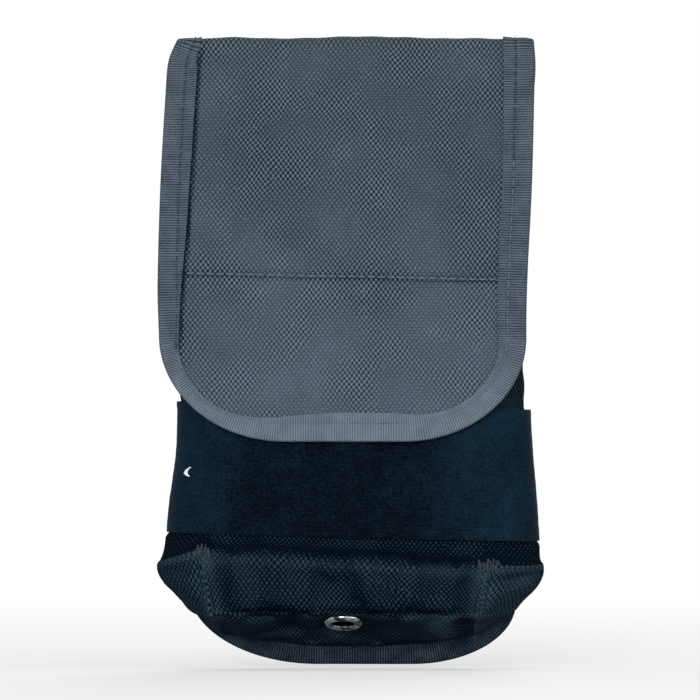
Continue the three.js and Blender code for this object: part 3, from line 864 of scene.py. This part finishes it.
def ridge_bead(distance, v):
    """The pinched, stitched edge of the box, from the tack down to the bottom."""
    reach = ease(v, 0.06, 0.16) * (1 - ease(v, CORNER_SHARE + 0.005, CORNER_SHARE + 0.035))
    return 1.5 * hump(distance, 0, 1.4) * reach


def side_middle(side, u, v):
    """A side, from the box's ridge, round its outermost line, to the seam on the back panel."""
    ridge, fold, seam = (edge_line(knots, side, v) for knots in (RIDGE[side], FOLD_LINE[side], SEAM_LINE))
    u = u[..., None]
    return ridge * (1 - u) * (1 - 2 * u) + fold * 4 * u * (1 - u) + seam * u * (2 * u - 1)


def above_corner(v):
    """Millimetres of cloth above the box corners."""
    return (v - CORNER_SHARE) * 240


def side_lift(side, u, v, points):
    """Unevenness of a side along its outward normal: the pleat from tack to ear, and hollows beside it."""
    rise = above_corner(v)
    half_way = np.clip(u / 0.5, 0, 1)
    lift = 2.0 * np.exp(-np.sqrt(rise * rise + 0.09) / 1.8) * (1 - half_way**2)
    lift -= (2.4 * hump(rise, 8, 5.5) + 1.8 * hump(rise, -13, 9)) * np.sin(np.pi * half_way)
    return lift + 0.35 * ripple(points[..., 1] * 1.3, points[..., 2], 16, 41 + side) * np.sin(np.pi * u)


def painted_facing_light(points):
    """Painted light: faces that look forwards, towards the lamps, are painted lighter, and folds and
    undersides, which turn away, darker.
    """
    forwards = np.abs(grid_normals(points)[..., 1])
    return 0.23 + 0.42 * (np.maximum(forwards, 0.6) - 0.85)


def pocket_uv(points):
    """Cloth lengths across and up a grid of rows."""
    across = np.linalg.norm(np.diff(points, axis=1), axis=-1).mean(0)
    up = np.linalg.norm(np.diff(points, axis=0), axis=-1).mean(1)
    return pair(np.append(0, np.cumsum(across)), np.append(0, np.cumsum(up))[:, None])


POCKET_ROWS = joined(np.linspace(0, 0.6, 190), np.linspace(0.6, 0.8, 40), np.linspace(0.8, MOUTH, 50))
SETTLED_TOP = 0.58  # share of the knots, under the elastic, above which the cloth is held still
SETTLED_ROWS = 50
SETTLED_COLUMNS = {"left": 17, "front": 47, "right": 17}
SETTLE_FRAMES = 24
SETTLE_SCALE = 0.01  # the simulation runs ten times larger than life, where its steps behave well
SLACK = 0.02  # the cloth is cut this share larger than the frame it hangs in
FURTHEST = 5.0  # no point may move further


def held_share(start, v):
    """How firmly each point of the cloth is held: hard at the seams, the tacks and round the grommet."""
    soft = (np.abs(v - ROLL_SHARE) < 0.035) | (np.abs(v - EDGE_SHARE) < 0.03)
    share = np.where(soft, 0.4, 0)[:, None] + np.zeros(start.shape[:2])
    rim = front_middle(*(np.array([[place]]) for place in GROMMET_PLACE))
    share[np.linalg.norm(start - rim, axis=-1) < 11] = 1
    turn = SETTLED_COLUMNS["left"] - 1
    share[:, [turn, -turn - 1]] = np.where(np.abs(v - CORNER_SHARE) < 0.02, 1, 0.6)[:, None]
    share[:2] = share[-4:] = share[:, [0, -1]] = 1
    return share


def settle():
    """How far a cloth simulation moves the pocket's lower part, which ends under the elastic."""
    v = np.linspace(0, SETTLED_TOP, SETTLED_ROWS)
    places = {part: np.meshgrid(np.linspace(0, 1, count), v) for part, count in SETTLED_COLUMNS.items()}
    left, right = side_middle(-1, *places["left"]), side_middle(1, *places["right"])
    start = np.concatenate([left[:, :0:-1], front_middle(*places["front"]), right[:, 1:]], axis=1)
    index = numbered(start)
    near, far = index[:-1], index[1:]
    faces = np.stack([near[:, :-1], near[:, 1:], far[:, 1:], far[:, :-1]], axis=-1).reshape(-1, 4)
    piece = placed("settling", new_mesh("settling", start * SETTLE_SCALE, faces.tolist()))
    held = piece.vertex_groups.new(name="held")
    for number, share in enumerate(held_share(start, v).ravel()):
        if share:
            held.add([number], share, "REPLACE")
    cloth = piece.modifiers.new("cloth", "CLOTH")
    settings = {
        "quality": 8, "mass": 0.2, "air_damping": 4, "tension_stiffness": 40, "compression_stiffness": 40,
        "shear_stiffness": 20, "bending_stiffness": 60, "vertex_group_mass": "held", "pin_stiffness": 4,
        "shrink_min": -SLACK, "shrink_max": -SLACK,
    }
    for key, value in settings.items():
        setattr(cloth.settings, key, value)
    cloth.settings.effector_weights.gravity = 0.05
    cloth.collision_settings.use_collision = False
    cloth.point_cache.frame_start = 1
    cloth.point_cache.frame_end = SETTLE_FRAMES
    for moment in range(1, SETTLE_FRAMES + 1):
        bpy.context.scene.frame_set(moment)
    settled = piece.evaluated_get(bpy.context.evaluated_depsgraph_get()).to_mesh()
    end = np.empty(start.size, np.float32)
    settled.vertices.foreach_get("co", end)
    bpy.context.scene.frame_set(1)
    bpy.data.objects.remove(piece)
    move = end.reshape(start.shape) / SETTLE_SCALE - start
    move *= np.minimum(1, FURTHEST / np.maximum(np.linalg.norm(move, axis=-1, keepdims=True), 1e-6))
    turn = SETTLED_COLUMNS["left"] - 1
    return {"left": move[:, turn::-1], "front": move[:, turn:-turn], "right": move[:, -turn - 1:]}


SETTLED = settle()


def settled_move(part, u, v):
    """The move of each point of a grid with columns at shares u and rows at shares v."""
    if SETTLED is None:
        return 0
    rows, columns = SETTLED[part].shape[:2]
    down = through(SETTLED[part].reshape(rows, -1), v / SETTLED_TOP).reshape(len(v), columns, 3)
    both = through(np.moveaxis(down, 1, 0).reshape(columns, -1), u).reshape(len(u), len(v), 3)
    return np.moveaxis(both, 0, 1) * (v < SETTLED_TOP)[:, None, None]


def front_wear_and_shade(points, u, v, width):
    """Painted light and shade, with some wear. Faces that look forwards are painted lighter. The stitched
    ridges are lighter from wear and a painted highlight; the roll along the top of the box and the bulge
    carry painted highlights, with painted shade in the dimple beyond the bulge. The underside is painted
    lighter against its shade, and the cloth above the box corners darker, as the elastic's shadow.
    """
    x, z = points[..., 0], points[..., 2]
    wear_and_shade = painted_facing_light(points) + 0.09 * hump(v, 0.475, 0.03) + 0.02 * ripple(x, z, 18, 37)
    ridge = hump(np.minimum(u, 1 - u) * width, 1.0, 3.2)
    wear_and_shade += 0.22 * ridge * ease(v, 0.1, 0.2) * (1 - ease(v, 0.5, 0.53))
    # the underside painted lighter against its shade
    wear_and_shade += 0.19 * (1 - ease(v, EDGE_SHARE - 0.05, EDGE_SHARE + 0.02))
    # a painted highlight on the bulge and painted shade in the dimple beyond it
    bulge = hump(x, BULGE_X, 7) - 0.6 * hump(x, BULGE_X + 10, 4)
    wear_and_shade += 0.16 * bulge * hump(v, BULGE_SHARE + 0.01, 0.07)
    # the cloth above the box corners painted darker, as the elastic's shadow
    return wear_and_shade - 0.05 * ease(v, CORNER_SHARE - 0.02, CORNER_SHARE + 0.05)


def make_front(side_normals):
    """Returns the panel's points and normals, and where the grommet goes."""
    steps = np.linspace(0, 1, 121)
    u_columns = 0.35 * (1 - np.cos(np.pi * steps)) / 2 + 0.65 * steps
    u, v = np.meshgrid(u_columns, POCKET_ROWS)
    middle = front_middle(u, v) + settled_move("front", u_columns, POCKET_ROWS)
    normals = -grid_normals(middle)
    normals *= np.sign((normals @ [0, -1, -0.3]).mean())
    width = np.linalg.norm(middle[:, -1] - middle[:, 0], axis=-1)[:, None]
    lift = front_lift(u, v, middle) + ridge_bead(u * width, v) + ridge_bead((1 - u) * width, v)
    points = middle + normals * lift[..., None]
    for side, column in EDGE_COLUMN.items():
        # both sides of the ridge are pushed the same way, so that front and side meet on it
        push = unit(normals[:, column] + side_normals[side])
        points[:, column] = middle[:, column] + push * lift[:, column, None]
    spot_u, spot_v = GROMMET_PLACE
    spot = np.argmin(np.abs(POCKET_ROWS - spot_v)), np.argmin(np.abs(u_columns - spot_u))
    cells = (points[:-1, :-1] + points[1:, 1:]) / 2
    keep = np.linalg.norm(cells - points[spot], axis=-1) > GROMMET_HOLE + 1.0
    uvs, worn_and_shaded = pocket_uv(points), front_wear_and_shade(points, u, v, width)
    sheet(
        "front_panel_cloth", points, POCKET_PLY, uvs, POCKET_CLOTH, node="front_panel", keep=keep, wear_and_shade=worn_and_shaded,
    )
    return points, normals, points[spot], normals[spot]


def side_grid(side):
    u_columns = np.linspace(0, 1, 64) ** 1.25
    u, v = np.meshgrid(u_columns, POCKET_ROWS)
    middle = side_middle(side, u, v) + settled_move(SIDES[side], u_columns, POCKET_ROWS)
    normals = grid_normals(middle)
    normals *= np.sign(normals[..., 0].mean() * side)
    return u, v, middle, normals


def squeezed(x, z, side):
    """Held in by the elastic, so that the cloth bulges below it."""
    rise = z - BAND_MIDDLE - BAND_TILT * x
    limit = (BAND_HALF - 1.5) * (1 - BAND_TAPER * rise)
    half = BAND_WIDTH / 2
    held = ease(rise, -half - 2, -half + 1) * (1 - ease(rise, half, half + 4))
    return x - side * np.maximum(0, side * (x - BAND_SHIFT) - limit) * held


def side_wear_and_shade(side, points, away, u, v):
    """Mostly painted light and shade. Faces that look forwards are painted lighter, and the ridge is lighter
    from wear and a painted highlight. The pleat carries a painted highlight, the ear below it is painted
    lighter and the cloth just above it darker, as shadow. The upper cloth, in the flap's shadow, and the
    underside are painted lighter against their shade.
    """
    rise = above_corner(v)
    wear_and_shade = painted_facing_light(points) + 0.14 * hump(away, 0, 3) * (v < CORNER_SHARE)
    # the pleat as a painted highlight, the ear below it painted lighter and the cloth above it darker, as
    # shadow
    wear_and_shade += 0.2 * hump(rise, -1, 2.6) * (u < 0.6)
    wear_and_shade += (0.2 if side < 0 else 0.26) * (1 - ease(rise, -3, 2)) * (1 - ease(u, 0.35, 0.7))
    wear_and_shade -= 0.06 * ease(rise, 0, 4) * (1 - ease(v, 0.6, 0.7))
    # the upper cloth, in the flap's shadow, and the underside painted lighter against their shade
    return wear_and_shade + 0.2 * ease(v, 0.68, 0.74) + 0.06 * (1 - ease(v, EDGE_SHARE, EDGE_SHARE + 0.1))


def make_sides(grids, front_points):
    for side, word in SIDES.items():
        u, v, middle, normals = grids[side]
        away = np.linalg.norm(middle - middle[:, :1], axis=-1)
        lift = side_lift(side, u, v, middle) + ridge_bead(away, v)
        points = middle + normals * lift[..., None]
        gap = front_points[:, EDGE_COLUMN[side]] - points[:, 0]
        points = points + gap[:, None] * np.exp(-away / 1.6)[..., None]
        points[..., 0] = squeezed(points[..., 0], points[..., 2], side)
        uvs, wear_and_shade = pocket_uv(points), side_wear_and_shade(side, points, away, u, v)
        name, node = f"side_gusset_cloth_{word}", f"side_gusset_{word}"
        sheet(name, points, POCKET_PLY, uvs, POCKET_CLOTH, node=node, wear_and_shade=wear_and_shade)


def make_mouth(points, normals):
    """Tape folded over the top edge of the front panel."""
    edge, out, face = points[-1], unit(points[-1] - points[-4]), normals[-1]
    inner = POCKET_PLY / 2 + 0.08
    a, b = tape_profile(len(edge), inner, inner, MOUTH_LIP, MOUTH_LIP, 0.1)
    ring = edge[:, None] + out[:, None] * a[..., None] + face[:, None] * b[..., None]
    faces, uvs = tube_faces(*a.shape), tape_uvs(lengths(edge)[:, None], a, b)
    make_piece("mouth_binding_tape", ring, faces, uvs, BODY_TAPE, node="mouth_binding", wear_and_shade=0.3)
    sewn = edge - out * (MOUTH_LIP - 1.9) + face * (inner + TAPE)
    thread_row("mouth_stitches", sewn, face, DARK_THREAD)


def make_grommet(centre, axis):
    """The eyelet's rolled flange outside, with its barrel through the cloth, and the washer inside."""
    face = POCKET_PLY / 2 + 0.05
    middle, roll, barrel = 6.2, 1.6, 4.8  # radii of the flange's ring, of its section and of the barrel
    turn = np.linspace(np.pi, 0.1 * np.pi, 20)
    flange = [(GROMMET_HOLE, face + 0.5), *zip(middle + roll * np.cos(turn), face + roll * np.sin(turn))]
    flange += [(middle + roll, face + 0.15), (middle + roll - 0.2, face), (barrel, face)]
    flange += [(barrel - 0.1, -2.6), (GROMMET_HOLE, -2.8)]
    lathe("drain_grommet_flange", flange, centre, axis, NICKEL, "drain_grommet")
    washer = [(barrel, -face), (middle, -face), (middle + 0.1, -face - 0.3), (5.5, -face - 1.1)]
    lathe("grommet_washer_ring", [*washer, (barrel, -face - 1.4)], centre, axis, NICKEL, "grommet_washer")


def make_loop_tape(points, normals):
    """Napped tape on the front panel, under the flap."""
    z = points[:, points.shape[1] // 2, 2]
    low, high = LOOP_TAPE_Z
    rows = np.flatnonzero((z > low) & (z < high))
    columns = np.flatnonzero(np.abs(points[rows[0], :, 0]) < LOOP_TAPE_HALF)
    base, face = (field[np.ix_(rows, columns)] for field in (points, normals))
    flat = pocket_uv(base)
    border = np.minimum(flat, flat[-1, -1] - flat).min(-1)
    nap = 0.25 * ripple(flat[..., 0], flat[..., 1], 3, 51, 16) * ease(border, 1, 4)
    raised = base + face * (POCKET_PLY / 2 + 0.75 + nap)[..., None]
    sheet("loop_tape_pile", raised, 1.1, flat, LOOPS, node="loop_tape")
    sewn = raised[2:-2, 2:-2]
    ring = np.concatenate([sewn[0], sewn[:, -1], sewn[-1, ::-1], sewn[::-1, 0]])
    normal = np.broadcast_to(face.mean((0, 1)), ring.shape)
    thread_row("loop_tape_stitches", ring + normal * 0.55, normal, DARK_THREAD)


TACKS = {-1: (20, 5.4, 2.5, 0.4), 1: (30, 8.2, 2.9, 0.6)}  # passes, width, half height, shift in x


def make_tacks(points, normals):
    """Close zigzags of thread that gather the box corners."""
    row = np.argmin(np.abs(POCKET_ROWS - CORNER_SHARE))
    for side, word in SIDES.items():
        passes, spread, reach, shift = TACKS[side]
        corner, normal = (field[row, EDGE_COLUMN[side]] for field in (points, normals))
        centre = corner + [shift, 0, 0.2]
        face = unit(normal + [0, -0.6, 0.2])
        across = unit(np.cross(face, [0, 0, 1.0]))
        up = np.cross(across, face)
        random = np.random.default_rng(60 + side)
        zigzag = []
        for k in range(passes):
            place = (k / (passes - 1) - 0.5) * spread + random.uniform(-0.8, 0.8)
            swing = (reach + random.uniform(-1.8, 0.6)) * (1 if k % 2 else -1)
            bulge = 0.2 + random.uniform(0, 0.3)
            zigzag.append(centre + across * place + up * swing + face * (0.75 + 0.1 * bulge))
            zigzag.append(centre + across * (place + 0.16) + face * (0.9 + bulge))
        zigzag = np.array(zigzag)
        # the outer half of the tack turns round the corner
        zigzag[:, 1] += 0.9 * np.maximum(0, side * (zigzag[:, 0] - corner[0]))
        cord(f"corner_tack_thread_{word}", zigzag, 0.22, TACK_THREAD, f"corner_tack_{word}")


def make_pocket():
    grids = {side: side_grid(side) for side in SIDES}
    points, normals, centre, axis = make_front({side: grids[side][3][:, 0] for side in SIDES})
    make_sides(grids, points)
    make_mouth(points, normals)
    make_grommet(centre, axis)
    make_loop_tape(points, normals)
    make_tacks(points, normals)


# ---------- Elastic ----------
BAND_MIDDLE = 75.4
BAND_WIDTH = 50.8
BAND_TILT = -0.0243
BAND_TAPER = 0.0011
BAND_CLOTH = 1.5
BAND_HALF = 69.9
BAND_FRONT = -26.9
BAND_SIDE = -9.0  # the depth at which the band is widest
BAND_REAR = 2.0
BAND_SHIFT = 0.8
LAP_HALF = 14
LAP_ROWS = (-11.5, -8.5, 8.5, 11.5)  # where its rows of stitches run


def band_corner(start, depth, turn):
    """A quarter turn between the band's straight part at a depth, which ends at start, and its side."""
    return pair(start + (BAND_HALF - start) * np.sin(turn), BAND_SIDE + (depth - BAND_SIDE) * np.cos(turn))


def band_plan():
    """The elastic's middle line from above, with its join behind."""
    turn = np.linspace(0, np.pi / 2, 30)
    rear, front = 64, 46  # half widths of the straight parts
    rear_x, front_x = np.linspace(0, rear, 30), np.linspace(front, 0, 30)
    half = joined(
        pair(rear_x, BAND_REAR),
        band_corner(rear, BAND_REAR, turn),
        band_corner(front, BAND_FRONT, turn[::-1]),
        pair(front_x, BAND_FRONT - 0.5 * (1 - (front_x / front) ** 2)),
    )
    return respaced(np.concatenate([half, half[::-1] * [-1, 1]]), 1.6)[:-1]


def on_band(plan, rise, lift):
    """Points on the band for places of its plan and heights above its middle, moved outwards by lift."""
    ahead = unit(np.roll(plan, -1, 0) - np.roll(plan, 1, 0))
    out = np.column_stack([ahead[:, 1], -ahead[:, 0]])
    out = out * np.sign(np.sum(out * plan))
    x = BAND_SHIFT + plan[:, :1] * (1 - BAND_TAPER * rise) + out[:, :1] * lift
    x = x + 1.1 * hump(rise, 9, 15) * ease(-plan[:, :1], 30, 68)
    y = plan[:, 1:] + out[:, 1:] * lift
    return np.stack(np.broadcast_arrays(x, y, BAND_MIDDLE + rise + BAND_TILT * x), axis=-1)


def band_lift(along, rise, plan):
    """Waves in the band, which lies flat behind, where it is sewn to the back panel."""
    side = ease(np.abs(plan[:, :1]), 40, 66)
    lift = 0.22 * ripple(along, rise, 32, 71) + 0.1 * ripple(along, rise * 2, 11, 73)
    lift = lift * (1 - 0.5 * side) + 0.3 * hump(rise, 24.5, 2.0) * side
    return np.where(plan[:, 1:] > 0, np.clip(lift, -0.1, 0.3), lift)


def make_elastic():
    plan = band_plan()
    rise = np.linspace(-BAND_WIDTH / 2, BAND_WIDTH / 2, 34)
    along = np.arange(len(plan))[:, None] * np.linalg.norm(plan[1] - plan[0])
    points = on_band(plan, rise, band_lift(along, rise, plan))
    # painted light: the front of the band is painted lighter towards its ends and a little lighter in its
    # upper half
    front = ease(-plan[:, 1:], 6, 20)
    wear_and_shade = 0.27 + front * (0.4 * ease(np.abs(plan[:, :1] + 8), 20, 66) + 0.08 * ease(rise, 0, 25))
    wear_and_shade = wear_and_shade + 0.07 * ripple(along, rise, 24, 74)
    uvs = pair(along, rise)
    sheet("elastic_wrap", points, BAND_CLOTH, uvs, BAND, node="elastic_band", around=True, wear_and_shade=wear_and_shade)
    # the lapped join behind, sewn through to the back panel
    x = np.linspace(-LAP_HALF, LAP_HALF, 22)[:, None]
    z = BAND_MIDDLE + rise + BAND_TILT * x
    y = BAND_REAR + 1.5 + 0.12 * ripple(x, z, 12, 75)
    lap = np.stack(np.broadcast_arrays(x, y, z), axis=-1)
    sheet("elastic_lap", lap, 1.3, pair(x, rise), BAND, wear_and_shade=0.3)
    reach = BAND_WIDTH / 2 - 2.9
    for number, x in enumerate(LAP_ROWS, 1):
        ends = [(x, BAND_REAR + 2.25, BAND_MIDDLE + BAND_TILT * x + rise) for rise in (-reach, reach)]
        rear_row(f"elastic_lap_stitches_{number}", np.array(ends))
    make_barb(plan)


def rear_row(name, path, **size):
    """Stitches along a line on a face that looks to the rear."""
    thread_row(name, path, np.broadcast_to([0.0, 1.0, 0.0], path.shape), DARK_THREAD, **size)


def make_barb(plan):
    """The broken end of a white tag barb, caught in the elastic."""
    spot = np.argmin(np.hypot(plan[:, 0] + 64.6, plan[:, 1] + 22))
    centre = on_band(plan, -1.8, BAND_CLOTH / 2 + 0.3)[spot, 0]
    bend = [(0.9, -0.1, -1.7), (-0.1, -0.2, -1.2), (-0.8, -0.2, -0.3), (-0.4, -0.5, 0.7), (0.3, -0.8, 1.3)]
    share = np.linspace(0, 1, 16)
    wide = np.interp(share, [0, 0.3, 0.7, 1], [0.4, 0.9, 2.6, 1.9])[:, None] * np.linspace(-0.35, 0.65, 5)
    points = (through(bend, share) + centre)[:, None] + wide[..., None] * [0.8, -0.2, 0.55]
    sheet("tag_barb", points, 0.45, points[..., [0, 2]], NYLON_BARB)


# ---------- Hook tape ----------
HOOK_INSET = 11.4
HOOK_CORNER = 39  # the tape's corners start this far above the flap's end


def make_hook_tape():
    """Stiff tape with rows of hooks, inside the flap below its stitch line."""
    corner = END_S - HOOK_CORNER
    s = joined(np.linspace(LINE_S + 1.4, corner, 30), curved_rows(corner, END_S - HOOK_INSET, 26))[:, None]
    stretch = HOOK_CORNER / (HOOK_CORNER - HOOK_INSET)
    edge_s = np.where(s > corner, corner + (s - corner) * stretch, s)
    share = np.linspace(0, 1, 90)
    x = (flap_edge(edge_s, -1) + HOOK_INSET) * (1 - share) + (flap_edge(edge_s, 1) - HOOK_INSET) * share
    rough = 0.12 * np.abs(np.sin(np.pi * x / 1.3) * np.sin(np.pi * s / 1.6))
    points = on_panel(x, s, -(CLOTH / 2 + 0.75) - rough)
    sheet("hook_tape_panel", points, 1.2, pair(x, s), HOOKS, TIP_BEND, "hook_tape")


# ---------- Belt loops ----------
LOOP_BOTTOM = 112
LOOP_TOP = 190
LOOP_END = 12
LOOP_STAND = 6.1
LOOP_CLOTH = 1.8
LOOP_GAP = 0.05


def make_belt_loops():
    near = LOOP_GAP + LOOP_CLOTH / 2
    for side, word in SIDES.items():
        node = f"belt_loop_{word}"
        low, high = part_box(node)
        middle, half = (low.x + high.x) / 2 / MM, (high.x - low.x) / 2 / MM
        x, z = np.meshgrid(np.linspace(-half, half, 30), np.linspace(LOOP_BOTTOM, LOOP_TOP, 130))
        inner = np.minimum(z - (LOOP_BOTTOM + LOOP_END), (LOOP_TOP - LOOP_END) - z)
        y = near + (LOOP_STAND - near) * ease(inner, -0.6, 5.2)
        y += 0.18 * ripple(x, z, 22, 81 + side) * ease(inner, 0, 8)
        y -= 0.35 * ease(np.abs(x), half - 2.5, half)
        points = np.stack([middle + x, np.maximum(y, near), z], axis=-1)
        sheet(f"belt_loop_strap_{word}", points, LOOP_CLOTH, pair(x, z), STRAP, node=node)
        for end, start in (("lower", LOOP_BOTTOM), ("upper", LOOP_TOP - LOOP_END)):
            name = f"belt_loop_stitches_{word}_{end}"
            box_stitch(name, middle, half - 2.5, start + 2, start + LOOP_END - 2.2)


def box_stitch(name, x, half, low, high):
    """A sewn box with a cross in it, on the end of a strap."""
    left, right = x - half, x + half
    box = [(left, low), (right, low), (right, high), (left, high), (left, low)]
    cross = [(right, high), (right, low), (left, high)]
    y = LOOP_GAP + LOOP_CLOTH + 0.02
    rear_row(name, respaced(np.array([(a, y, b) for a, b in box + cross]), 0.5), length=2.4, gap=0.5)


# ---------- Stitching on the strip ----------


def sewn_row(name, path, height, look, body="pouch", **size):
    """A row of stitches along a path of (x, s) on the strip, at a height off its middle."""
    x, s = respaced(path, 0.6).T
    low, high = (on_panel(x, s, h) for h in (height, height + np.sign(height)))
    thread_row(name, low, unit(high - low), look, body, **size)


def inset_path(path, distance):
    return path - outward(path) * np.reshape(distance, (-1, 1))


def make_stitching():
    outer = CLOTH_HALF + TAPE
    row = inset_path(FLAP_PATH, np.minimum(flap_tape_width(*FLAP_PATH.T) - 1.0, SEWN_IN))
    turn = np.argmax(FLAP_PATH[:, 1] > END_S - 34)  # where the thread changes, at the left corner
    sewn_row("flap_binding_stitches_left", row[:turn], outer, TAPE_THREAD, TIP_BEND)
    sewn_row("flap_binding_stitches_right", row[turn:], outer, PALE_THREAD, TIP_BEND)
    sewn_row("flap_binding_stitches_inside", row, -outer - 0.05, DARK_THREAD, TIP_BEND)
    for side, word in SIDES.items():
        row = fold_outline(side) - [side * SEWN_IN, 0]
        sewn_row(f"flap_fold_stitches_{word}", row, outer, TAPE_THREAD, FOLD_BEND)
    x = np.array([-60.5, 60.5])
    line = pair(x, stitch_line_s(x))
    sewn_row("flap_line_stitches", line, CLOTH / 2 + 0.12, PALE_THREAD, TIP_BEND, gap=0.8, radius=0.3)
    row = inset_path(BACK_PATH, BACK_SEWN_IN)
    sewn_row("edge_binding_stitches_rear", row, outer + 0.05, DARK_THREAD)
    sewn_row("edge_binding_stitches_front", row[row[:, 1] < SEAM_TOP], -outer - SEAM_PLY - 0.1, DARK_THREAD)


# ---------- Stage, in metres ----------
FLOOR_RADIUS = 0.9
AMBIENT = 0.2
CAMERA_DISTANCE = 3.0
CAMERA_HEIGHT = 0.1224  # above the pouch's bottom edge
FIELD = 0.273  # width of what the camera sees


def make_floor():
    """A pale round floor, which fades into the white around it."""
    radii = np.linspace(0.02, 1, 24)[:, None, None] ** 1.5 * FLOOR_RADIUS
    points = rings(np.zeros((24, 3)), np.array([1, 0, 0]), np.array([0, 1, 0]), radii, 96)
    index = numbered(points)
    mesh = new_mesh("floor", points, between_rings(index[:-1], index[1:]) + [index[0].tolist()])
    material = bpy.data.materials.new("pale_floor")
    nodes = Nodes(material)
    place = nodes.value("ShaderNodeTexCoord", output="Object")
    away = nodes.value("ShaderNodeVectorMath", place, output="Value", operation="LENGTH")
    # how much of the floor's own shading is seen: half of it near the object and none at the rim
    own = away.spread(0.1, FLOOR_RADIUS * 0.95, 0.5, 0.0)
    glow = (own * -1.0 + 1.0) * nodes.value("ShaderNodeLightPath", output="Is Camera Ray")
    nodes.shade(Base_Color=own, Roughness=0.9, Specular_IOR_Level=0.0)
    nodes.shade(Emission_Color=(1, 1, 1, 1), Emission_Strength=glow)
    mesh.materials.append(material)
    placed("floor", mesh, (0, 0, BOTTOM - 0.0015))


def make_world():
    """White to the eye, a soft grey light for the cloth, a bright sky over a dark floor for the metal."""
    world = bpy.data.worlds.new("studio")
    bpy.context.scene.world = world
    nodes = Nodes(world)
    direction = nodes.value("ShaderNodeTexCoord", output="Generated")
    sky = nodes.value("ShaderNodeSeparateXYZ", direction, output="Z").spread(-0.4, 0.6, 0.05, 1.6)
    glossy = nodes.value("ShaderNodeLightPath", output="Is Glossy Ray")
    camera = nodes.value("ShaderNodeLightPath", output="Is Camera Ray")
    strength = nodes.blend(camera, nodes.blend(glossy, AMBIENT, sky), 1.0)
    ground = nodes.tree.nodes["Background"]
    nodes.feed(ground.inputs["Strength"], strength)
    nodes.feed(ground.inputs["Color"], (1, 1, 1, 1))


def softbox(name, place, size, power):
    """A square lamp that looks at the pouch."""
    light = bpy.data.lights.new(name, "AREA")
    light.size = size
    light.energy = power
    placed(name, light, place).rotation_euler = (-Vector(place)).to_track_quat("-Z", "Y").to_euler()


def make_camera():
    """Straight on, from far off, so that the pouch fills nine tenths of the height."""
    data = bpy.data.cameras.new("camera")
    data.lens = data.sensor_width * CAMERA_DISTANCE / FIELD
    data.clip_end = 200
    camera = placed("camera", data, (-0.0005, -CAMERA_DISTANCE, BOTTOM + CAMERA_HEIGHT))
    camera.rotation_euler = (math.pi / 2, 0, 0)
    bpy.context.scene.camera = camera


def make_stage():
    make_floor()
    make_world()
    softbox("key", (-0.5, -2.4, 0.35), 1.3, 48)
    softbox("fill", (1.9, -1.2, 0.5), 1.2, 10)
    softbox("rear", (0.7, 2.4, 1.0), 1.6, 40)
    softbox("top", (0, -0.3, 1.8), 1.4, 8)
    make_camera()
    bpy.context.scene.view_settings.view_transform = "Standard"


make_panel()
make_bindings()
make_pocket()
make_elastic()
make_hook_tape()
make_belt_loops()
make_stitching()
make_stage()
